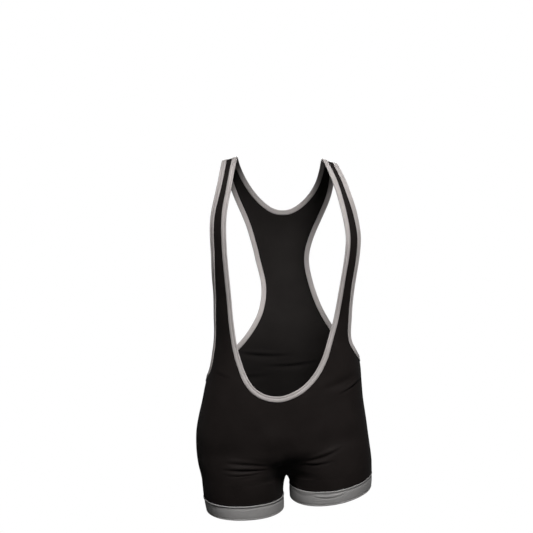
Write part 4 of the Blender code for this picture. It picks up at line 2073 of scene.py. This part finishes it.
@dataclass
class LegBand(Sewn):
    """A folded cuff at the foot of one leg, with a lip where it is sewn to the hem."""

    slot: ClassVar[str] = "band_grey"
    thread: ClassVar[Fabric] = GREY_THREAD

    hem: np.ndarray
    foot: np.ndarray
    # Share of its section's height that the lip keeps
    lip: float = 1.0
    # In mm
    lip_width: float = 3.0
    pitch: float = 1.6
    fineness: float = 1.0

    def build(self) -> None:
        """Makes the band round its leg, and its stitches."""
        drops = (self.foot - self.hem)[:, :3]
        hem, down = evenly(self.hem[:, :3], drops, self.pitch * MM)
        normals = np.cross(down, tangents(hem))
        normals = unit(normals * np.sign((normals * (hem - hem.mean(axis=0))).sum()))
        section, places = rounded(np.array(BAND_SECTION) * MM, self.fineness * MM)
        raised = section[:, 1] * np.where(section[:, 0] < self.lip_width * MM, self.lip, 1.0)
        rows = hem[:, None] + down[:, None] * section[:, :1]
        facing = np.repeat(normals[:, None], len(section), axis=1)
        on_leg = rows.reshape(-1, 3)
        relief = self.cloth.creases.relief(on_leg, facing.reshape(-1, 3))
        relief = (relief + self.cloth.undulation.relief(on_leg)).reshape(rows.shape[:2])
        raised = raised + relief * self.cloth.taken_up(section[:, 1])
        rows = rows + facing * raised[..., None]
        run = lengths(closed(hem))
        piece = swept(self.name, rows, run, lengths(closed(section)), GREY.material())
        flat = (float(np.linalg.norm(drops, axis=1).mean()), float(run[-1]))
        self.hand_over(piece, [Row(rows[:, places[HEM_STITCH]], closes=True)], flat)


# ---------------------------------------------------------------- studio


class Lamp(NamedTuple):
    """A square soft light: where it stands, what it looks at, its side, power and spread."""

    name: str
    place: Place
    aim: Place
    size: float
    power: float
    spread: float


LAMPS = (
    Lamp("key", (0.30, -1.45, 1.22), (0.0, -0.05, -0.34), 0.8, 3.7, 38.0),
    Lamp("fill", (-1.9, -1.9, 0.5), (0.0, 0.0, -0.25), 1.8, 1.6, 90.0),
    Lamp("back", (0.1, 2.5, 0.5), (0.0, 0.0, -0.30), 0.8, 48.0, 180.0),
)


@dataclass
class Studio:
    """Plain pale floor, an even white surround, soft lights and the camera."""

    floor_height: float = -1.05
    floor_radius: float = 40.0
    floor_sides: int = 96
    floor_cast: float = 0.08
    camera_place: Place = (-0.0357, -1.75, -0.217)
    view_width: float = 1.08732
    sensor: float = 36.0
    nearest: float = 0.01
    surround: float = 0.06

    def build(self) -> None:
        """Makes the whole studio."""
        self.camera()
        self.floor()
        self.lights()
        self.world()
        bpy.context.scene.view_settings.view_transform = "Standard"

    def camera(self) -> None:
        """Looks straight at the suit's front, level with its chest."""
        data = bpy.data.cameras.new("camera")
        data.sensor_width = self.sensor
        data.lens = self.sensor * -self.camera_place[1] / self.view_width
        data.clip_start = self.nearest
        camera = linked("camera", data)
        camera.location = self.camera_place
        camera.rotation_euler = (math.pi / 2, 0, 0)
        bpy.context.scene.camera = camera

    def floor(self) -> None:
        """A wide round floor, so pale that it runs into the surround."""
        bpy.ops.mesh.primitive_circle_add(
            vertices=self.floor_sides,
            radius=self.floor_radius,
            fill_type="TRIFAN",
            location=(0, 0, self.floor_height),
        )
        floor = bpy.context.object
        floor.name = "floor"
        material = bpy.data.materials.new("floor")
        material.use_nodes = True
        shading = Shading(material.node_tree)
        material.node_tree.nodes.remove(material.node_tree.nodes["Principled BSDF"])
        seen = shading.add("ShaderNodeEmission", Strength=1.0)
        cast = shading.add("ShaderNodeBsdfDiffuse", Color=(*[self.floor_cast] * 3, 1.0))
        shading.by_ray("Material Output", cast.outputs["BSDF"], seen.outputs["Emission"])
        floor.data.materials.append(material)

    def lights(self) -> None:
        """One soft light high in front, one lower at the wearer's right, a strong one behind."""
        for lamp in LAMPS:
            data = bpy.data.lights.new(lamp.name, "AREA")
            data.size = lamp.size
            data.energy = lamp.power
            data.spread = math.radians(lamp.spread)
            light = linked(lamp.name, data)
            light.location = lamp.place
            way = Vector(lamp.aim) - Vector(lamp.place)
            light.rotation_euler = way.to_track_quat("-Z", "Y").to_euler()

    def world(self) -> None:
        """White to look at, and a dimmer, even light on the suit."""
        world = bpy.data.worlds.new("studio")
        world.use_nodes = True
        shading = Shading(world.node_tree)
        white = (1.0, 1.0, 1.0, 1.0)
        seen = world.node_tree.nodes["Background"]
        shading.give(seen, Color=white, Strength=1.0)
        cast = shading.add("ShaderNodeBackground", Color=white, Strength=self.surround)
        shading.by_ray("World Output", cast.outputs["Background"], seen.outputs["Background"])
        bpy.context.scene.world = world


# ---------------------------------------------------------------- the suit


@dataclass
class Suit:
    """The whole bodysuit: two panels, three bindings and two leg bands."""

    pattern: Pattern = field(default_factory=lambda: Pattern(Figure()))
    # How high each leg band's lip stands, the right one's first
    lips: tuple[float, float] = (1.0, 0.75)
    # Columns of cloth that show which way each edge faces
    in_from_neck: int = 3
    in_from_arm: int = -4

    def __post_init__(self) -> None:
        """Lays the cloth on the figure."""
        self.cloth = Cloth(self.pattern)

    def build(self) -> None:
        """Makes every piece in turn."""
        cloth = self.cloth
        ahead, behind = Face.FRONT, Face.BACK
        Panel("front_cloth", "front_panel", cloth, ahead, flat=(0.44, 0.72), area=0.135).build()
        Panel("back_cloth", "back_panel", cloth, behind, flat=(0.47, 0.74), area=0.172).build()
        self.neck().build()
        for number, side in enumerate(("right", "left")):
            self.armhole(number, side).build()
            hem, foot = self.pattern.hem_rings(number)
            name, node = "leg_cuff_" + side, "leg_band_" + side
            LegBand(name, node, cloth, hem, foot, lip=self.lips[number]).build()

    def neck(self) -> Binding:
        """The binding round the neck: the front's U, over the shoulders and round the nape.

        Returns:
            The binding, not yet built.
        """
        foot, nape = self.pattern.fine_foot, self.pattern.fine_nape
        runs = (
            (Face.FRONT, 0, range(0, foot + 1)),
            (Face.FRONT, 1, range(foot - 1, -1, -1)),
            (Face.BACK, 1, range(1, nape + 1)),
            (Face.BACK, 0, range(nape - 1, 0, -1)),
        )
        return self.along("neck_trim", "neck_binding", runs, column=0, beside=self.in_from_neck)

    def armhole(self, number: int, side: str) -> Binding:
        """The binding round one armhole: down the front's edge and up the back's.

        Args:
            number: 0 for the half at -X, 1 for the other.
            side: That side's name.

        Returns:
            The binding, not yet built.
        """
        foot = self.pattern.fine_foot
        runs = (
            (Face.FRONT, number, range(0, foot + 1)),
            (Face.BACK, number, range(foot - 1, 0, -1)),
        )
        name, node = "armhole_trim_" + side, "armhole_binding_" + side
        return self.along(name, node, runs, column=-1, beside=self.in_from_arm)

    def along(
        self,
        name: str,
        node: str,
        runs: Sequence[tuple[Face, int, range]],
        column: int,
        beside: int,
    ) -> Binding:
        """A binding along the panels' edges.

        Args:
            name: The piece's name.
            node: The solid that it stands for.
            runs: Face, half and rows of each stretch, in order round the loop.
            column: The edge's column in the panels' grids.
            beside: A column a little way in from it.

        Returns:
            The binding, not yet built.
        """
        points, normals, outwards = [], [], []
        for face, number, rows in runs:
            sheet = self.cloth.sheets[face]
            edge, inner = sheet.grids[number][list(rows)][:, (column, beside)].T
            points.append(sheet.points[edge])
            normals.append(sheet.normals[edge])
            outwards.append(sheet.points[edge] - sheet.points[inner])
        loop = (np.concatenate(run) for run in (points, normals, outwards))
        return Binding(name, node, self.cloth, *loop)


def main() -> None:
    """Builds the suit and the studio."""
    logging.basicConfig(level=logging.INFO, format="%(name)s: %(message)s")
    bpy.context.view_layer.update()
    Suit().build()
    Studio().build()


if __name__ == "__main__":
    main()
